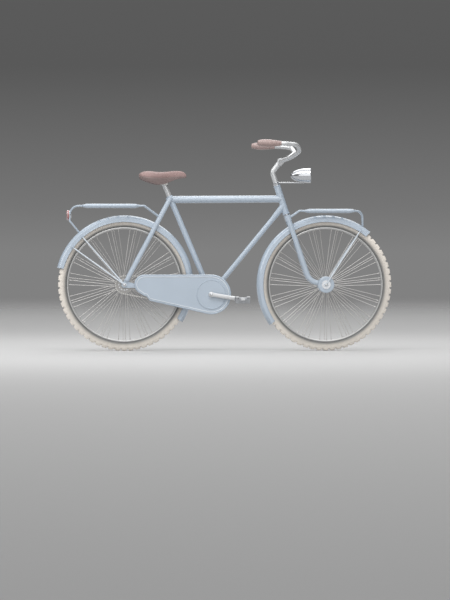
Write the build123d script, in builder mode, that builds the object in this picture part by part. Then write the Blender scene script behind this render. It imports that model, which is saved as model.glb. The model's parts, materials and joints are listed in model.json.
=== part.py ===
from build123d import *
from math import acos, asin, atan2, cos, degrees, pi, radians, sin, sqrt, tan
import os

# A roadster bicycle with two racks and a chaincase, built as separate pieces, in millimetres.
# +X is forward, +Y is the rider's left and +Z is up.
# The origin is the rider's seat point, on top of the saddle.
# Places seen from the side are (x, z) pairs, and half widths are measured from the middle plane.

# Layout seen from the side
wheelbase = 1102.0
tyre_radius = 361.0
seat_point_height = 976.0
rear_axle_setback = 179.0
crank_ahead = 473.0
crank_drop = 53.0
steering_lean = 18.3
fork_length = 394.8
fork_rake = 83.6
seat_tube_lean = 22.9

# Clearances
weld_gap = 0.05
press_gap = 0.05
running_gap = 0.05
seat_gap = 0.3
face_gap = 0.5

# Wheels
tyre_width = 48.0
tyre_bead_width = 30.0
tread_depth = 6.5
tread_width = 32.0
tread_sink = 6.0
tread_blocks = 60
tread_notch_angle = 1.5
bead_radius = 313.0
rim_height = 9.0
rim_width = 38.0
rim_well = 5.0
spoke_radius = 1.3
spoke_groups = 15
spoke_rim_offset = 4.0
axle_radius = 5.0
hub_flange_thickness = 3.0

# Front wheel hub
front_dropout_inside = 45.0
front_flange_place = 28.0
front_flange_radius = 28.0
front_hub_body_radius = 14.0
front_hub_end_radius = 11.0
front_hub_cone_radius = 10.0
front_hub_cone_length = 6.0

# Rear wheel hub
rear_dropout_inside = 61.0
rear_flange_place = 34.5
rear_flange_radius = 34.0
rear_hub_body_radius = 24.0
rear_hub_end_radius = 17.0
rear_hub_cone_radius = 11.0

# Frame tubes
head_tube_length = 164.0
head_tube_radius = 18.2
head_tube_wall = 3.0
headset_cup_height = 6.0
headset_cup_edge = 1.0
steerer_radius = 13.0
top_tube_radius = 19.5
top_tube_seat_place = 21.2
top_tube_head_place = 82.7
down_tube_radius = 13.5
down_tube_lug_radius = 19.0
down_tube_lug_length = 95.0
down_tube_head_place = 122.0
seat_tube_radius = 15.0
seat_tube_length = 583.0
seat_post_radius = 13.6
seat_post_insertion = 180.0
seat_post_bore_spare = 5.0
seat_post_top_drop = 62.9
shell_radius = 21.0
shell_half = 35.0
bracket_axle_radius = 8.5
bracket_axle_inset = 2.0

# Stays of the rear triangle
stay_clear_of_guard = 1.5
seat_stay_side = 12.5
seat_stay_across = 8.0
seat_stay_top_place = 6.5
seat_stay_top_ahead = 5.5
seat_stay_top_half = 20.0
seat_stay_end_from_axle = 24.0
seat_stay_end_half = 66.5
seat_stay_bend = 220.0
chain_stay_side = 11.0
chain_stay_across = 6.5
chain_stay_front_half = 26.0
chain_stay_front_inset = 16.0
chain_stay_narrow_inset = 94.0
chain_stay_guard_inset = 139.0
chain_stay_end_ahead = 57.0
chain_stay_end_half = 62.0
chain_stay_bend = 90.0
dropout_thickness = 4.0
dropout_radius = 17.0
dropout_reach = 62.0
dropout_arm_half = 7.0
dropout_web_ahead = 25.5
dropout_web_rise = 15.3
dropout_cut_radius = 108.0
stay_bridge_radius = 7.0

# Mudguards
guard_clearance = 18.0
guard_skin = 1.8
guard_half = 31.0
guard_depth = 36.0
guard_crown_depth = 17.0
rear_guard_front_angle = -32.5
rear_guard_back_angle = 165.4
front_guard_front_angle = 50.0
front_guard_back_angle = 215.5
guard_stay_radius = 3.5
guard_stay_overlap = 9.0
rear_guard_stay_angles = (131.2, 144.0)
front_guard_stay_angle = 57.4
stay_eye_radius = 12.0
stay_eye_thickness = 4.0

# Fork
crown_gap = 1.0
crown_height = 32.0
crown_length = 34.0
crown_half = 52.0
crown_corner = 14.0
blade_side = 13.5
blade_across = 8.5
blade_half = 43.0
blade_end_half = 47.0
blade_sink = 8.0
blade_bend_rise = 45.8
blade_bend_ahead = 4.0
blade_bend = 75.0
blade_end_gap = 1.0
front_dropout_radius = 15.0
front_dropout_reach = 70.0
front_dropout_half = 10.5
hub_disc_radius = 45.0
hub_disc_thickness = 5.0
hub_disc_edge = 2.0
hub_disc_slope = 4.0
hub_washer_radius = 24.0
hub_washer_thickness = 2.0
axle_nut_radius = 9.0
axle_nut_height = 8.0
guard_bolt_radius = 6.0

# Handlebar and stem, placed from the top of the head tube
stem_radius = 14.3
stem_foot = 3.0
stem_kink_height = 72.0
stem_bend = 22.0
clamp_radius = 18.0
clamp_half = 26.0
bar_radius = 12.0
# How far ahead, half width and height above the head tube's top of each bend, from the clamp outwards
bar_bends = (
    (22.0, 46.0, 127.0),
    (72.0, 118.0, 146.0),
    (114.0, 196.0, 177.0),
    (98.0, 262.0, 210.0),
    (30.0, 286.0, 216.0),
)
bar_bend_radii = (30.0, 30.0, 60.0, 50.0, 40.0)
bar_end = (-122.0, 300.0, 220.0)
grip_length = 131.0
grip_radius = 20.0
grip_mouth_radius = 16.0
grip_mouth_length = 6.0
grip_tail_radius = 12.0
grip_tail_length = 8.0
grip_end_cap = 4.0

# Headlamp, placed from the top of the head tube
lamp_ahead = 77.0
lamp_rise = 49.5
lamp_length = 111.0
lamp_radius = 41.5
lamp_tail_radius = 9.0
lamp_curve = 2.4
lamp_rim_recess = 6.0
lamp_rim_wall = 3.0
lens_edge = 4.0
lens_bulge = 6.0
lamp_rod_rise = 11.0
lamp_rod_radius = 3.6
lamp_rod_reach = 152.0

# Racks: a deck of two thick tapered rails with slats, on thinner rods
rail_radius = 11.0
rail_taper = 20.0
rail_tip_radius = 6.0
rod_radius = 5.0
rod_kink = 14.0
rod_arc = 55.0
front_rod_arc = 42.0
rod_sink = 3.0
slat_width = 14.0
slat_thickness = 5.0
slat_count = 4
# Rails as x from their wheel's axle, and their height above the mudguard's crown
rear_rail_half = 60.0
rear_rail_x = (-226.0, 80.5)
rear_rail_rise = 51.0
front_rail_half = 52.0
front_rail_x = (-111.0, 155.0)
front_rail_rise = 24.0
# The rods' bends as x from the axle, half width and height above the rail
rear_back_bends = ((-298.0, 20.0, -1.0), (-298.0, 16.0, -81.0))
rear_back_radii = (rod_arc, rod_kink)
rear_back_foot_angle = 130.8
rear_strut_bend = (109.0, 58.0, 1.0)
rear_strut_seat = 416.0
front_back_bend = (-144.0, 48.0, 1.0)
front_back_seat_ahead = 14.0
front_back_seat_half = 38.0
front_strut_bend = (201.0, 22.0, -1.0)
front_strut_foot_angle = 57.2
rod_foot_half = 3.0
rear_reflector_radius = 27.0
rear_reflector_thickness = 11.0
rear_reflector_edge = 3.0
rear_reflector_drop = 51.0

# Saddle: side outline and plan outline, from the seat point
saddle_top = ((-99.6, -23.5), (-78.0, 3.0), (-50.0, 8.0), (0.0, 0.0), (40.0, 0.5), (93.5, 6.5), (134.0, 6.5))
saddle_nose = (159.7, -31.0)
saddle_under = ((105.6, -38.5), (59.6, -60.0), (28.0, -70.5), (-5.5, -69.0), (-40.5, -58.0), (-94.6, -31.0))
saddle_plan = ((-99.6, 62.0), (-78.0, 96.0), (-30.0, 102.0), (20.0, 76.0), (62.0, 44.0), (110.0, 31.0), (145.0, 26.0), (159.7, 12.0))
saddle_blank_height = 400.0
saddle_recess_x = (-66.0, 92.0)
saddle_recess_half = 30.0
saddle_recess_z = -30.0
saddle_recess_depth = 100.0
saddle_rail_half = 21.0
saddle_rail_radius = 3.5
saddle_rail_z = -46.0
saddle_rail_inset = 5.5
saddle_rail_slope = 20.0
saddle_rail_bend = 8.0
saddle_clamp_length = 44.0
saddle_clamp_side = 6.0
saddle_clamp_below = 6.0
saddle_clamp_height = 24.0

# Chain and sprockets
link_pitch = 12.7
rear_teeth = 24
front_teeth = 44
chain_line = 51.5
chain_half_width = 4.5
link_half_height = 4.4
link_waist = 3.2
tooth_clear = 0.5
tooth_depth = 5.0
# Each tooth's corners as a share of its pitch and whether they lie at the tip
tooth_corners = ((0.0, True), (0.25, True), (0.45, False), (0.8, False))
sprocket_half_thickness = 1.5
chainring_inner_radius = 64.0
chainring_arms = 5
chainring_arm_width = 16.0
chainring_arm_overlap = 5.0
chainring_hub_radius = 24.0

# Chaincase, placed from the crank's axle
case_front_radius = 107.0
case_nose_back = 366.0
case_nose_radius = 52.0
case_nose_end_angle = 235.0
case_bottom_slope = 12.9
case_step = ((-364.0, -7.0), (-350.0, -9.5))
case_step_back = 334.0
case_outside = 73.0
case_inside = 44.0
case_wall = 2.0
case_edge = 7.0
case_shallow_back = 332.0
case_shallow_lip = 1.0
case_cover_radius = 80.0
case_cover_thickness = 2.0
case_bracket_back = (149.0, 334.0)
case_bracket_radius = 6.0

# Cranks and pedals
crank_length = 170.0
crank_angle = -9.6
crank_inside = 80.0
crank_thickness = 13.0
crank_root_radius = 14.0
crank_tip_radius = 11.0
crank_arm_root = 11.8
crank_arm_tip = 9.8
crank_boss_radius = 15.0
crank_boss_gap = 6.0
left_boss_start = 62.0
pedal_pin_radius = 5.5
pedal_gap = 3.0
pedal_width = 92.0
pedal_length = 78.0
pedal_barrel_radius = 11.0
pedal_cage_height = 27.0
pedal_cage_thickness = 4.0
pedal_rubber_length = 19.0
pedal_rubber_height = 38.0
pedal_rubber_edge = 4.0

# Coaster brake arm
brake_arm_length = 165.0
brake_arm_half = 8.0
brake_arm_thickness = 3.0
brake_eye_radius = 14.0
brake_clip_radius = 6.0
brake_clip_inside = 42.0

# Points and axes that follow from the layout
rear_axle = Vector(-rear_axle_setback, 0, tyre_radius - seat_point_height)
front_axle = rear_axle + Vector(wheelbase, 0, 0)
crank_centre = rear_axle + Vector(crank_ahead, 0, -crank_drop)
down_steering = Vector(sin(radians(steering_lean)), 0, -cos(radians(steering_lean)))
ahead_steering = Vector(cos(radians(steering_lean)), 0, sin(radians(steering_lean)))
up_seat_tube = Vector(-sin(radians(seat_tube_lean)), 0, cos(radians(seat_tube_lean)))
forward = Vector(1, 0, 0)
leftward = Vector(0, 1, 0)
crown_place = 2 * headset_cup_height + head_tube_length + crown_gap
crown_end = crown_place + crown_height
head_top = front_axle - down_steering * (crown_end + fork_length) - ahead_steering * fork_rake
guard_radius = tyre_radius + guard_clearance
guard_skirt_radius = guard_radius - guard_depth
guard_shoulder_radius = guard_radius - guard_crown_depth


def on_steering(along, ahead=0.0, half=0.0):
    """A point a distance down the steering axis from the head tube's top, and ahead of it."""
    return head_top + down_steering * along + ahead_steering * ahead + leftward * half


def on_seat_tube(distance):
    """A point on the seat tube's middle line, measured from the crank axle."""
    return crank_centre + up_seat_tube * distance


def polar(centre, distance, angle, half=0.0):
    """A point at a distance and angle round a centre, seen from the right, angle up from +X."""
    return centre + Vector(distance * cos(radians(angle)), half, distance * sin(radians(angle)))


def from_head(ahead, half, rise):
    """A point measured forward and up from the top of the head tube."""
    return head_top + Vector(ahead, half, rise)


def side_plane(centre, half):
    """A plane square to the wheels' axles, at y = half, that faces right."""
    return Plane(origin=(centre.X, half, centre.Z), x_dir=(1, 0, 0), z_dir=(0, -1, 0))


def seen(point):
    """A point as the (x, z) pair of the side view."""
    return (point.X, point.Z)


def bar(start, end, radius):
    """A round bar from one point to another."""
    with BuildPart() as made:
        with BuildSketch(Plane(origin=start, z_dir=end - start)):
            Circle(radius)
        extrude(amount=(end - start).length)
    return made.part


def cross_bar(centre, start_half, end_half, radius):
    """A round bar along Y between two half widths."""
    return bar(centre + leftward * start_half, centre + leftward * end_half, radius)


def bent_rod(points, bends, radius):
    """A round rod that follows straight runs joined by arcs."""
    with BuildPart() as made:
        with BuildLine() as route:
            FilletPolyline(*points, radius=bends)
        with BuildSketch(Plane(origin=route.line @ 0, z_dir=route.line % 0)):
            Circle(radius)
        sweep(path=route.line)
    return made.part


def oval_tube(points, bends, tall, wide):
    """An oval tube along a route, with its longer half size in the side view."""
    with BuildPart() as made:
        with BuildLine() as route:
            FilletPolyline(*points, radius=bends)
        start_direction = route.line % 0
        with BuildSketch(Plane(origin=route.line @ 0, x_dir=leftward.cross(start_direction), z_dir=start_direction)):
            Ellipse(tall, wide)
        sweep(path=route.line)
    return made.part


def turned(start, direction, outline):
    """A turned piece, whose closed outline lists (along, radius) pairs about the axis."""
    outward = Vector(0, 0, 1) if abs(direction.Z) < 0.5 and abs(direction.X) < 0.5 else leftward
    with BuildPart() as made:
        with BuildSketch(Plane(origin=start, x_dir=direction, z_dir=direction.cross(outward))):
            with BuildLine():
                Polyline(*outline, close=True)
            make_face()
        revolve(axis=Axis(start, direction))
    return made.part


def plate(outline, start_half, end_half):
    """A flat plate in the side view between two half widths, from (x, z) pairs."""
    with BuildPart() as made:
        with BuildSketch(side_plane(Vector(0, 0, 0), max(start_half, end_half))):
            with BuildLine():
                Polyline(*outline, close=True)
            make_face()
        extrude(amount=abs(end_half - start_half))
    return made.part


def both_sides(piece):
    """A piece and its mirror image across the middle plane."""
    with BuildPart() as made:
        add(piece)
        mirror(about=Plane.XZ)
    return made.part


def largest(part):
    """The largest solid of a piece, without the scraps that a cut leaves."""
    with BuildPart() as made:
        add(part.solids().sort_by(SortBy.VOLUME)[-1])
    return made.part


def write(part, node):
    """Labels a finished piece and writes it as one file."""
    part.label = node
    export_step(part, f"parts/{node}.step")


os.makedirs("parts", exist_ok=True)

# Wheels
rim_inner_radius = bead_radius - rim_height
tread_root = tyre_radius - tread_depth
tyre_bead = bead_radius + press_gap
tyre_middle = (bead_radius + tread_root) / 2
tyre_section = (
    (-tyre_bead_width / 2, tyre_bead),
    (-tyre_width / 2, tyre_middle),
    (-tread_width / 2, tread_root),
    (tread_width / 2, tread_root),
    (tyre_width / 2, tyre_middle),
    (tyre_bead_width / 2, tyre_bead),
)
rim_section = (
    (-rim_width / 2 + rim_well, rim_inner_radius),
    (-rim_width / 2, rim_inner_radius + rim_height / 2),
    (-rim_width / 2, bead_radius),
    (rim_width / 2, bead_radius),
    (rim_width / 2, rim_inner_radius + rim_height / 2),
    (rim_width / 2 - rim_well, rim_inner_radius),
)
# A block is centred straight below the axle, so that the tyre stands on it.
block_pitch = 360 / tread_blocks
block_half = (block_pitch - tread_notch_angle) / 2
tread_outline = []
for block in range(tread_blocks):
    block_middle = -90 + block * block_pitch
    for radius, angle in (
        (tread_root, block_middle - block_half),
        (tyre_radius, block_middle - block_half),
        (tyre_radius, block_middle),
        (tyre_radius, block_middle + block_half),
        (tread_root, block_middle + block_half),
    ):
        tread_outline.append((radius * cos(radians(angle)), radius * sin(radians(angle))))


def make_tyre(axle):
    """A tyre with its tread blocks in its outline."""
    body = turned(axle, leftward, tyre_section)
    with BuildPart() as made:
        add(body)
        with BuildSketch(side_plane(axle, tread_width / 2)):
            Polygon(*tread_outline, align=None)
            Circle(tread_root - tread_sink, mode=Mode.SUBTRACT)
        extrude(amount=tread_width)
    return made.part


# Each spoke's rim angle, its angle at the hub and its flange, within a group
spoke_table = ((-6.0, -22.3, 1), (-1.1, -11.7, 1), (1.1, 11.7, -1), (6.0, 22.3, -1))


def make_spokes(axle, flange_place, flange_radius):
    """Straight spokes in groups, alternating between the hub's two flanges."""
    spokes = []
    for group in range(spoke_groups):
        middle = -90 + group * 360 / spoke_groups
        for rim_angle, hub_angle, flange in spoke_table:
            hub_end = polar(axle, flange_radius + spoke_radius, middle + hub_angle, flange * flange_place)
            rim_end = polar(axle, rim_inner_radius - seat_gap, middle + rim_angle, flange * spoke_rim_offset)
            spokes.append(bar(hub_end, rim_end, spoke_radius))
    with BuildPart() as made:
        add(spokes)
    return made.part


def hub_outline(end, flange_place, flange_radius, body_radius, end_radius, cone_radius, cone_start):
    """Half of a hub from its middle outwards, then mirrored, as (along, radius) pairs."""
    inner_face = flange_place - hub_flange_thickness / 2
    outer_face = flange_place + hub_flange_thickness / 2
    bore = axle_radius + running_gap
    half = (
        (inner_face, body_radius),
        (inner_face, flange_radius),
        (outer_face, flange_radius),
        (outer_face, end_radius),
        (cone_start, end_radius),
        (cone_start, cone_radius),
        (end, cone_radius),
        (end, bore),
    )
    mirrored = [(-along, radius) for along, radius in reversed(half)]
    return mirrored + list(half)


front_hub_end = front_dropout_inside - face_gap
rear_hub_end = rear_dropout_inside - face_gap
sprocket_outside = chain_line + sprocket_half_thickness
front_hub_profile = hub_outline(
    front_hub_end, front_flange_place, front_flange_radius, front_hub_body_radius,
    front_hub_end_radius, front_hub_cone_radius, front_hub_end - front_hub_cone_length,
)
rear_hub_profile = hub_outline(
    rear_hub_end, rear_flange_place, rear_flange_radius, rear_hub_body_radius,
    rear_hub_end_radius, rear_hub_cone_radius, sprocket_outside,
)
for name, axle, flange_place, flange_radius, hub_profile in (
    ("front", front_axle, front_flange_place, front_flange_radius, front_hub_profile),
    ("rear", rear_axle, rear_flange_place, rear_flange_radius, rear_hub_profile),
):
    write(make_tyre(axle), f"{name}_tyre")
    write(turned(axle, leftward, rim_section), f"{name}_rim")
    write(make_spokes(axle, flange_place, flange_radius), f"{name}_spokes")
    write(turned(axle, leftward, hub_profile), f"{name}_hub")


# Sprockets and chain
def pitch_radius(teeth):
    """The radius at which a chain's pins lie round a sprocket."""
    return link_pitch / (2 * sin(pi / teeth))


rear_pitch_radius = pitch_radius(rear_teeth)
front_pitch_radius = pitch_radius(front_teeth)


def toothed_disc(centre, teeth):
    """A sprocket's toothed disc, just inside the chain that lies round it."""
    tip = pitch_radius(teeth) - link_half_height - tooth_clear
    root = tip - tooth_depth
    outline = []
    for tooth in range(teeth):
        for share, at_tip in tooth_corners:
            angle = 2 * pi * (tooth + share) / teeth
            radius = tip if at_tip else root
            outline.append((radius * cos(angle), radius * sin(angle)))
    with BuildPart() as made:
        with BuildSketch(side_plane(centre, -chain_line + sprocket_half_thickness)):
            Polygon(*outline, align=None)
        extrude(amount=2 * sprocket_half_thickness)
    return made.part


sprocket_disc = toothed_disc(rear_axle, rear_teeth)
sprocket_bore = cross_bar(rear_axle, -case_outside, 0, rear_hub_end_radius + press_gap)
with BuildPart() as rear_sprocket:
    add(sprocket_disc)
    add(sprocket_bore, mode=Mode.SUBTRACT)
write(rear_sprocket.part, "rear_sprocket")

chainring_disc = toothed_disc(crank_centre, front_teeth)
with BuildPart() as chainring:
    add(chainring_disc)
    with BuildSketch(side_plane(crank_centre, -chain_line + sprocket_half_thickness)) as window:
        Circle(chainring_inner_radius)
        Circle(chainring_hub_radius, mode=Mode.SUBTRACT)
        with PolarLocations(0, chainring_arms):
            Rectangle(chainring_inner_radius + chainring_arm_overlap, chainring_arm_width,
                      align=(Align.MIN, Align.CENTER), mode=Mode.SUBTRACT)
    extrude(amount=2 * sprocket_half_thickness, mode=Mode.SUBTRACT)
    with BuildSketch(side_plane(crank_centre, -chain_line + sprocket_half_thickness)):
        Circle(bracket_axle_radius + press_gap)
    extrude(amount=2 * sprocket_half_thickness, mode=Mode.SUBTRACT)
write(chainring.part, "chainring")

# The chain's pitch line is two arcs round the sprockets and the two runs that touch them.
sprocket_span = crank_centre - rear_axle
span_angle = degrees(atan2(sprocket_span.Z, sprocket_span.X))
run_tilt = degrees(asin((front_pitch_radius - rear_pitch_radius) / sprocket_span.length))
upper_normal = span_angle + 90 + run_tilt
lower_normal = span_angle - 90 - run_tilt
run_length = sqrt(sprocket_span.length**2 - (front_pitch_radius - rear_pitch_radius) ** 2)
front_wrap = (upper_normal - lower_normal) % 360
rear_wrap = 360 - front_wrap
front_arc_length = front_pitch_radius * radians(front_wrap)
rear_arc_length = rear_pitch_radius * radians(rear_wrap)
chain_length = 2 * run_length + front_arc_length + rear_arc_length
link_count = round(chain_length / link_pitch)


def on_chain(distance, outward):
    """A point of the chain, by its distance round the pitch line and out from it, as (x, z)."""
    distance = distance % chain_length
    if distance < front_arc_length:
        angle = lower_normal + degrees(distance / front_pitch_radius)
        point = polar(crank_centre, front_pitch_radius + outward, angle)
    elif distance < front_arc_length + run_length:
        share = (distance - front_arc_length) / run_length
        start = polar(crank_centre, front_pitch_radius + outward, upper_normal)
        end = polar(rear_axle, rear_pitch_radius + outward, upper_normal)
        point = start + (end - start) * share
    elif distance < front_arc_length + run_length + rear_arc_length:
        travelled = distance - front_arc_length - run_length
        angle = upper_normal + degrees(travelled / rear_pitch_radius)
        point = polar(rear_axle, rear_pitch_radius + outward, angle)
    else:
        share = (distance - front_arc_length - run_length - rear_arc_length) / run_length
        start = polar(rear_axle, rear_pitch_radius + outward, lower_normal)
        end = polar(crank_centre, front_pitch_radius + outward, lower_normal)
        point = start + (end - start) * share
    return (point.X, point.Z)


def chain_edge(side):
    """One edge of the chain: wide at each pin and waisted at the middle of each link."""
    edge = []
    for half_link in range(2 * link_count):
        height = link_half_height if half_link % 2 == 0 else link_waist
        edge.append(on_chain(chain_length * half_link / (2 * link_count), side * height))
    return edge


chain_outside = chain_edge(1)
chain_inside = chain_edge(-1)
with BuildPart() as chain:
    with BuildSketch(side_plane(Vector(0, 0, 0), -chain_line + chain_half_width)):
        Polygon(*chain_outside, align=None)
        Polygon(*chain_inside, align=None, mode=Mode.SUBTRACT)
    extrude(amount=2 * chain_half_width)
write(chain.part, "chain")

# Frame tubes
head_tube_start = headset_cup_height
head_tube_end = headset_cup_height + head_tube_length
head_core = bar(on_steering(0), on_steering(head_tube_end + headset_cup_height), head_tube_radius + weld_gap)
bracket_core = cross_bar(crank_centre, -shell_half, shell_half, shell_radius + weld_gap)
seat_tube_core = bar(on_seat_tube(0), on_seat_tube(seat_tube_length), seat_tube_radius + weld_gap)
write(
    turned(
        on_steering(0),
        down_steering,
        (
            (head_tube_start, head_tube_radius - head_tube_wall),
            (head_tube_start, head_tube_radius),
            (head_tube_end, head_tube_radius),
            (head_tube_end, head_tube_radius - head_tube_wall),
        ),
    ),
    "head_tube",
)
cup_bore = steerer_radius + running_gap
headset_parts = []
for cup_start in (0.0, head_tube_end):
    headset_parts.append(
        turned(
            on_steering(cup_start),
            down_steering,
            (
                (0, cup_bore),
                (0, head_tube_radius - headset_cup_edge),
                (headset_cup_edge, head_tube_radius),
                (headset_cup_height - headset_cup_edge, head_tube_radius),
                (headset_cup_height, head_tube_radius - headset_cup_edge),
                (headset_cup_height, cup_bore),
            ),
        )
    )
with BuildPart() as headset_cups:
    add(headset_parts)
write(headset_cups.part, "headset_cups")

top_tube_start = on_seat_tube(seat_tube_length - top_tube_seat_place)
top_tube_end = on_steering(top_tube_head_place)
top_tube_bar = bar(top_tube_start, top_tube_end, top_tube_radius)
with BuildPart() as top_tube:
    add(top_tube_bar)
    add(head_core, mode=Mode.SUBTRACT)
    add(seat_tube_core, mode=Mode.SUBTRACT)
write(largest(top_tube.part), "top_tube")

down_tube_top = on_steering(down_tube_head_place)
down_tube_span = (down_tube_top - crank_centre).length
down_tube_turned = turned(
    crank_centre,
    (down_tube_top - crank_centre).normalized(),
    (
        (0, 0),
        (0, down_tube_radius),
        (down_tube_span - down_tube_lug_length, down_tube_radius),
        (down_tube_span, down_tube_lug_radius),
        (down_tube_span, 0),
    ),
)
with BuildPart() as down_tube:
    add(down_tube_turned)
    add(head_core, mode=Mode.SUBTRACT)
    add(bracket_core, mode=Mode.SUBTRACT)
    add(seat_tube_core, mode=Mode.SUBTRACT)
write(largest(down_tube.part), "down_tube")

seat_post_low = seat_tube_length - seat_post_insertion
seat_post_high = (-seat_post_top_drop - crank_centre.Z) / up_seat_tube.Z
seat_tube_bar = bar(on_seat_tube(0), on_seat_tube(seat_tube_length), seat_tube_radius)
seat_tube_bore = bar(
    on_seat_tube(seat_post_low - seat_post_bore_spare), on_seat_tube(seat_post_high), seat_post_radius + press_gap
)
with BuildPart() as seat_tube:
    add(seat_tube_bar)
    add(bracket_core, mode=Mode.SUBTRACT)
    add(seat_tube_bore, mode=Mode.SUBTRACT)
write(seat_tube.part, "seat_tube")

write(
    turned(
        crank_centre,
        leftward,
        (
            (-shell_half, bracket_axle_radius + running_gap),
            (-shell_half, shell_radius),
            (shell_half, shell_radius),
            (shell_half, bracket_axle_radius + running_gap),
        ),
    ),
    "bottom_bracket",
)

# Rear triangle
seat_stay_top = on_seat_tube(seat_tube_length - seat_stay_top_place) + forward * seat_stay_top_ahead
seat_stay_start = seat_stay_top + leftward * seat_stay_top_half
stay_line = (rear_axle - seat_stay_top).normalized()
seat_stay_guard_half = guard_half + stay_clear_of_guard + seat_stay_across
seat_stay_bend_point = rear_axle - stay_line * (guard_radius + seat_stay_across) + leftward * seat_stay_guard_half
seat_stay_end = rear_axle - stay_line * seat_stay_end_from_axle + leftward * seat_stay_end_half
chain_stay_rise = (rear_axle.Z - crank_centre.Z) / (rear_axle.X - crank_centre.X)


def on_chain_stay(x, half=0.0):
    """A point on the left chain stay's middle line, by its x and half width."""
    return Vector(x, half, crank_centre.Z + (x - crank_centre.X) * chain_stay_rise)


chain_stay_guard_half = guard_half + stay_clear_of_guard + chain_stay_across
chain_stay_points = (
    on_chain_stay(crank_centre.X - chain_stay_front_inset, chain_stay_front_half),
    on_chain_stay(crank_centre.X - chain_stay_narrow_inset, chain_stay_guard_half),
    on_chain_stay(crank_centre.X - chain_stay_guard_inset, chain_stay_guard_half + stay_clear_of_guard),
    on_chain_stay(rear_axle.X + chain_stay_end_ahead, chain_stay_end_half),
)
stay_side = stay_line.cross(leftward)
seat_arm_near = rear_axle - stay_line * dropout_reach + stay_side * dropout_arm_half
seat_arm_far = rear_axle - stay_line * dropout_reach - stay_side * dropout_arm_half
chain_arm_end = on_chain_stay(rear_axle.X + dropout_reach + dropout_radius)
arm_rise = Vector(0, 0, dropout_arm_half)
dropout_corners = (
    seat_arm_far,
    seat_arm_near,
    rear_axle + Vector(dropout_web_ahead, 0, dropout_web_rise),
    chain_arm_end + arm_rise,
    chain_arm_end - arm_rise,
    rear_axle + Vector(0, 0, -dropout_radius),
    rear_axle + Vector(-dropout_radius, 0, 0),
)
dropout_web = [seen(corner) for corner in dropout_corners]
dropout_inside = rear_dropout_inside
dropout_outside = rear_dropout_inside + dropout_thickness
dropout_web_plate = plate(dropout_web, dropout_inside, dropout_outside)
dropout_round = cross_bar(rear_axle, dropout_inside, dropout_outside, dropout_radius)
rear_axle_hole = cross_bar(rear_axle, dropout_inside, dropout_outside, axle_radius + press_gap)
with BuildPart() as dropout_blank:
    add(dropout_web_plate)
    add(dropout_round)
with BuildPart() as left_dropout:
    add(dropout_blank.part)
    add(rear_axle_hole, mode=Mode.SUBTRACT)
write(both_sides(left_dropout.part), "rear_dropouts")

seat_stay_blank = oval_tube(
    (seat_stay_start, seat_stay_bend_point, seat_stay_end), seat_stay_bend, seat_stay_side, seat_stay_across
)
with BuildPart() as left_seat_stay:
    add(seat_stay_blank)
    add(seat_tube_core, mode=Mode.SUBTRACT)
    add(top_tube_bar, mode=Mode.SUBTRACT)
    add(dropout_blank.part, mode=Mode.SUBTRACT)
seat_stay_solid = largest(left_seat_stay.part)
write(both_sides(seat_stay_solid), "seat_stays")

chain_stay_blank = oval_tube(chain_stay_points, chain_stay_bend, chain_stay_side, chain_stay_across)
dropout_room = cross_bar(rear_axle, dropout_inside, dropout_outside + chain_stay_across, dropout_cut_radius)
with BuildPart() as left_chain_stay:
    add(chain_stay_blank)
    add(bracket_core, mode=Mode.SUBTRACT)
    add(dropout_blank.part, mode=Mode.SUBTRACT)
    add(dropout_room, mode=Mode.SUBTRACT)
chain_stay_solid = largest(left_chain_stay.part)
write(both_sides(chain_stay_solid), "chain_stays")

# The bridge between the seat stays touches the rear mudguard's crown.
bridge_place = rear_axle - stay_line * (guard_radius + stay_bridge_radius + weld_gap)
seat_bridge_bar = cross_bar(bridge_place, -seat_stay_guard_half, seat_stay_guard_half, stay_bridge_radius)
seat_stay_pair = both_sides(seat_stay_blank)
with BuildPart() as stay_bridge:
    add(seat_bridge_bar)
    add(seat_stay_pair, mode=Mode.SUBTRACT)
write(largest(stay_bridge.part), "seat_stay_bridge")

# Seat post and saddle
post_top = on_seat_tube(seat_post_high)
seat_post_bar = bar(on_seat_tube(seat_post_low), post_top, seat_post_radius)
write(seat_post_bar, "seat_post")

saddle_side_outline = saddle_top + (saddle_nose,) + saddle_under
with BuildPart() as saddle:
    with BuildSketch(side_plane(Vector(0, 0, 0), saddle_plan[2][1])):
        with BuildLine():
            Polyline(*saddle_side_outline, close=True)
        make_face()
    extrude(amount=2 * saddle_plan[2][1])
    with BuildSketch(Plane.XY.offset(-saddle_blank_height / 2)):
        with BuildLine():
            Polyline(*saddle_plan, *[(x, -half) for x, half in reversed(saddle_plan)], close=True)
        make_face()
    extrude(amount=saddle_blank_height, mode=Mode.INTERSECT)
    with BuildSketch(Plane.XY.offset(saddle_recess_z)):
        with Locations(((saddle_recess_x[0] + saddle_recess_x[1]) / 2, 0)):
            Rectangle(saddle_recess_x[1] - saddle_recess_x[0], 2 * saddle_recess_half)
    extrude(amount=-saddle_recess_depth, mode=Mode.SUBTRACT)
write(saddle.part, "saddle")

rail_x = (saddle_recess_x[0] + saddle_rail_inset, saddle_recess_x[1] - saddle_rail_inset)
saddle_rail = bent_rod(
    (
        Vector(rail_x[0], saddle_rail_half, saddle_recess_z),
        Vector(rail_x[0] + saddle_rail_slope, saddle_rail_half, saddle_rail_z),
        Vector(rail_x[1] - saddle_rail_slope, saddle_rail_half, saddle_rail_z),
        Vector(rail_x[1], saddle_rail_half, saddle_recess_z),
    ),
    saddle_rail_bend,
    saddle_rail_radius,
)
with BuildPart() as saddle_rails:
    add(both_sides(saddle_rail))
    with BuildSketch(Plane.XY.offset(saddle_recess_z)):
        Rectangle(saddle_blank_height, saddle_blank_height)
    extrude(amount=saddle_recess_depth, mode=Mode.SUBTRACT)
write(saddle_rails.part, "saddle_rails")

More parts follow.
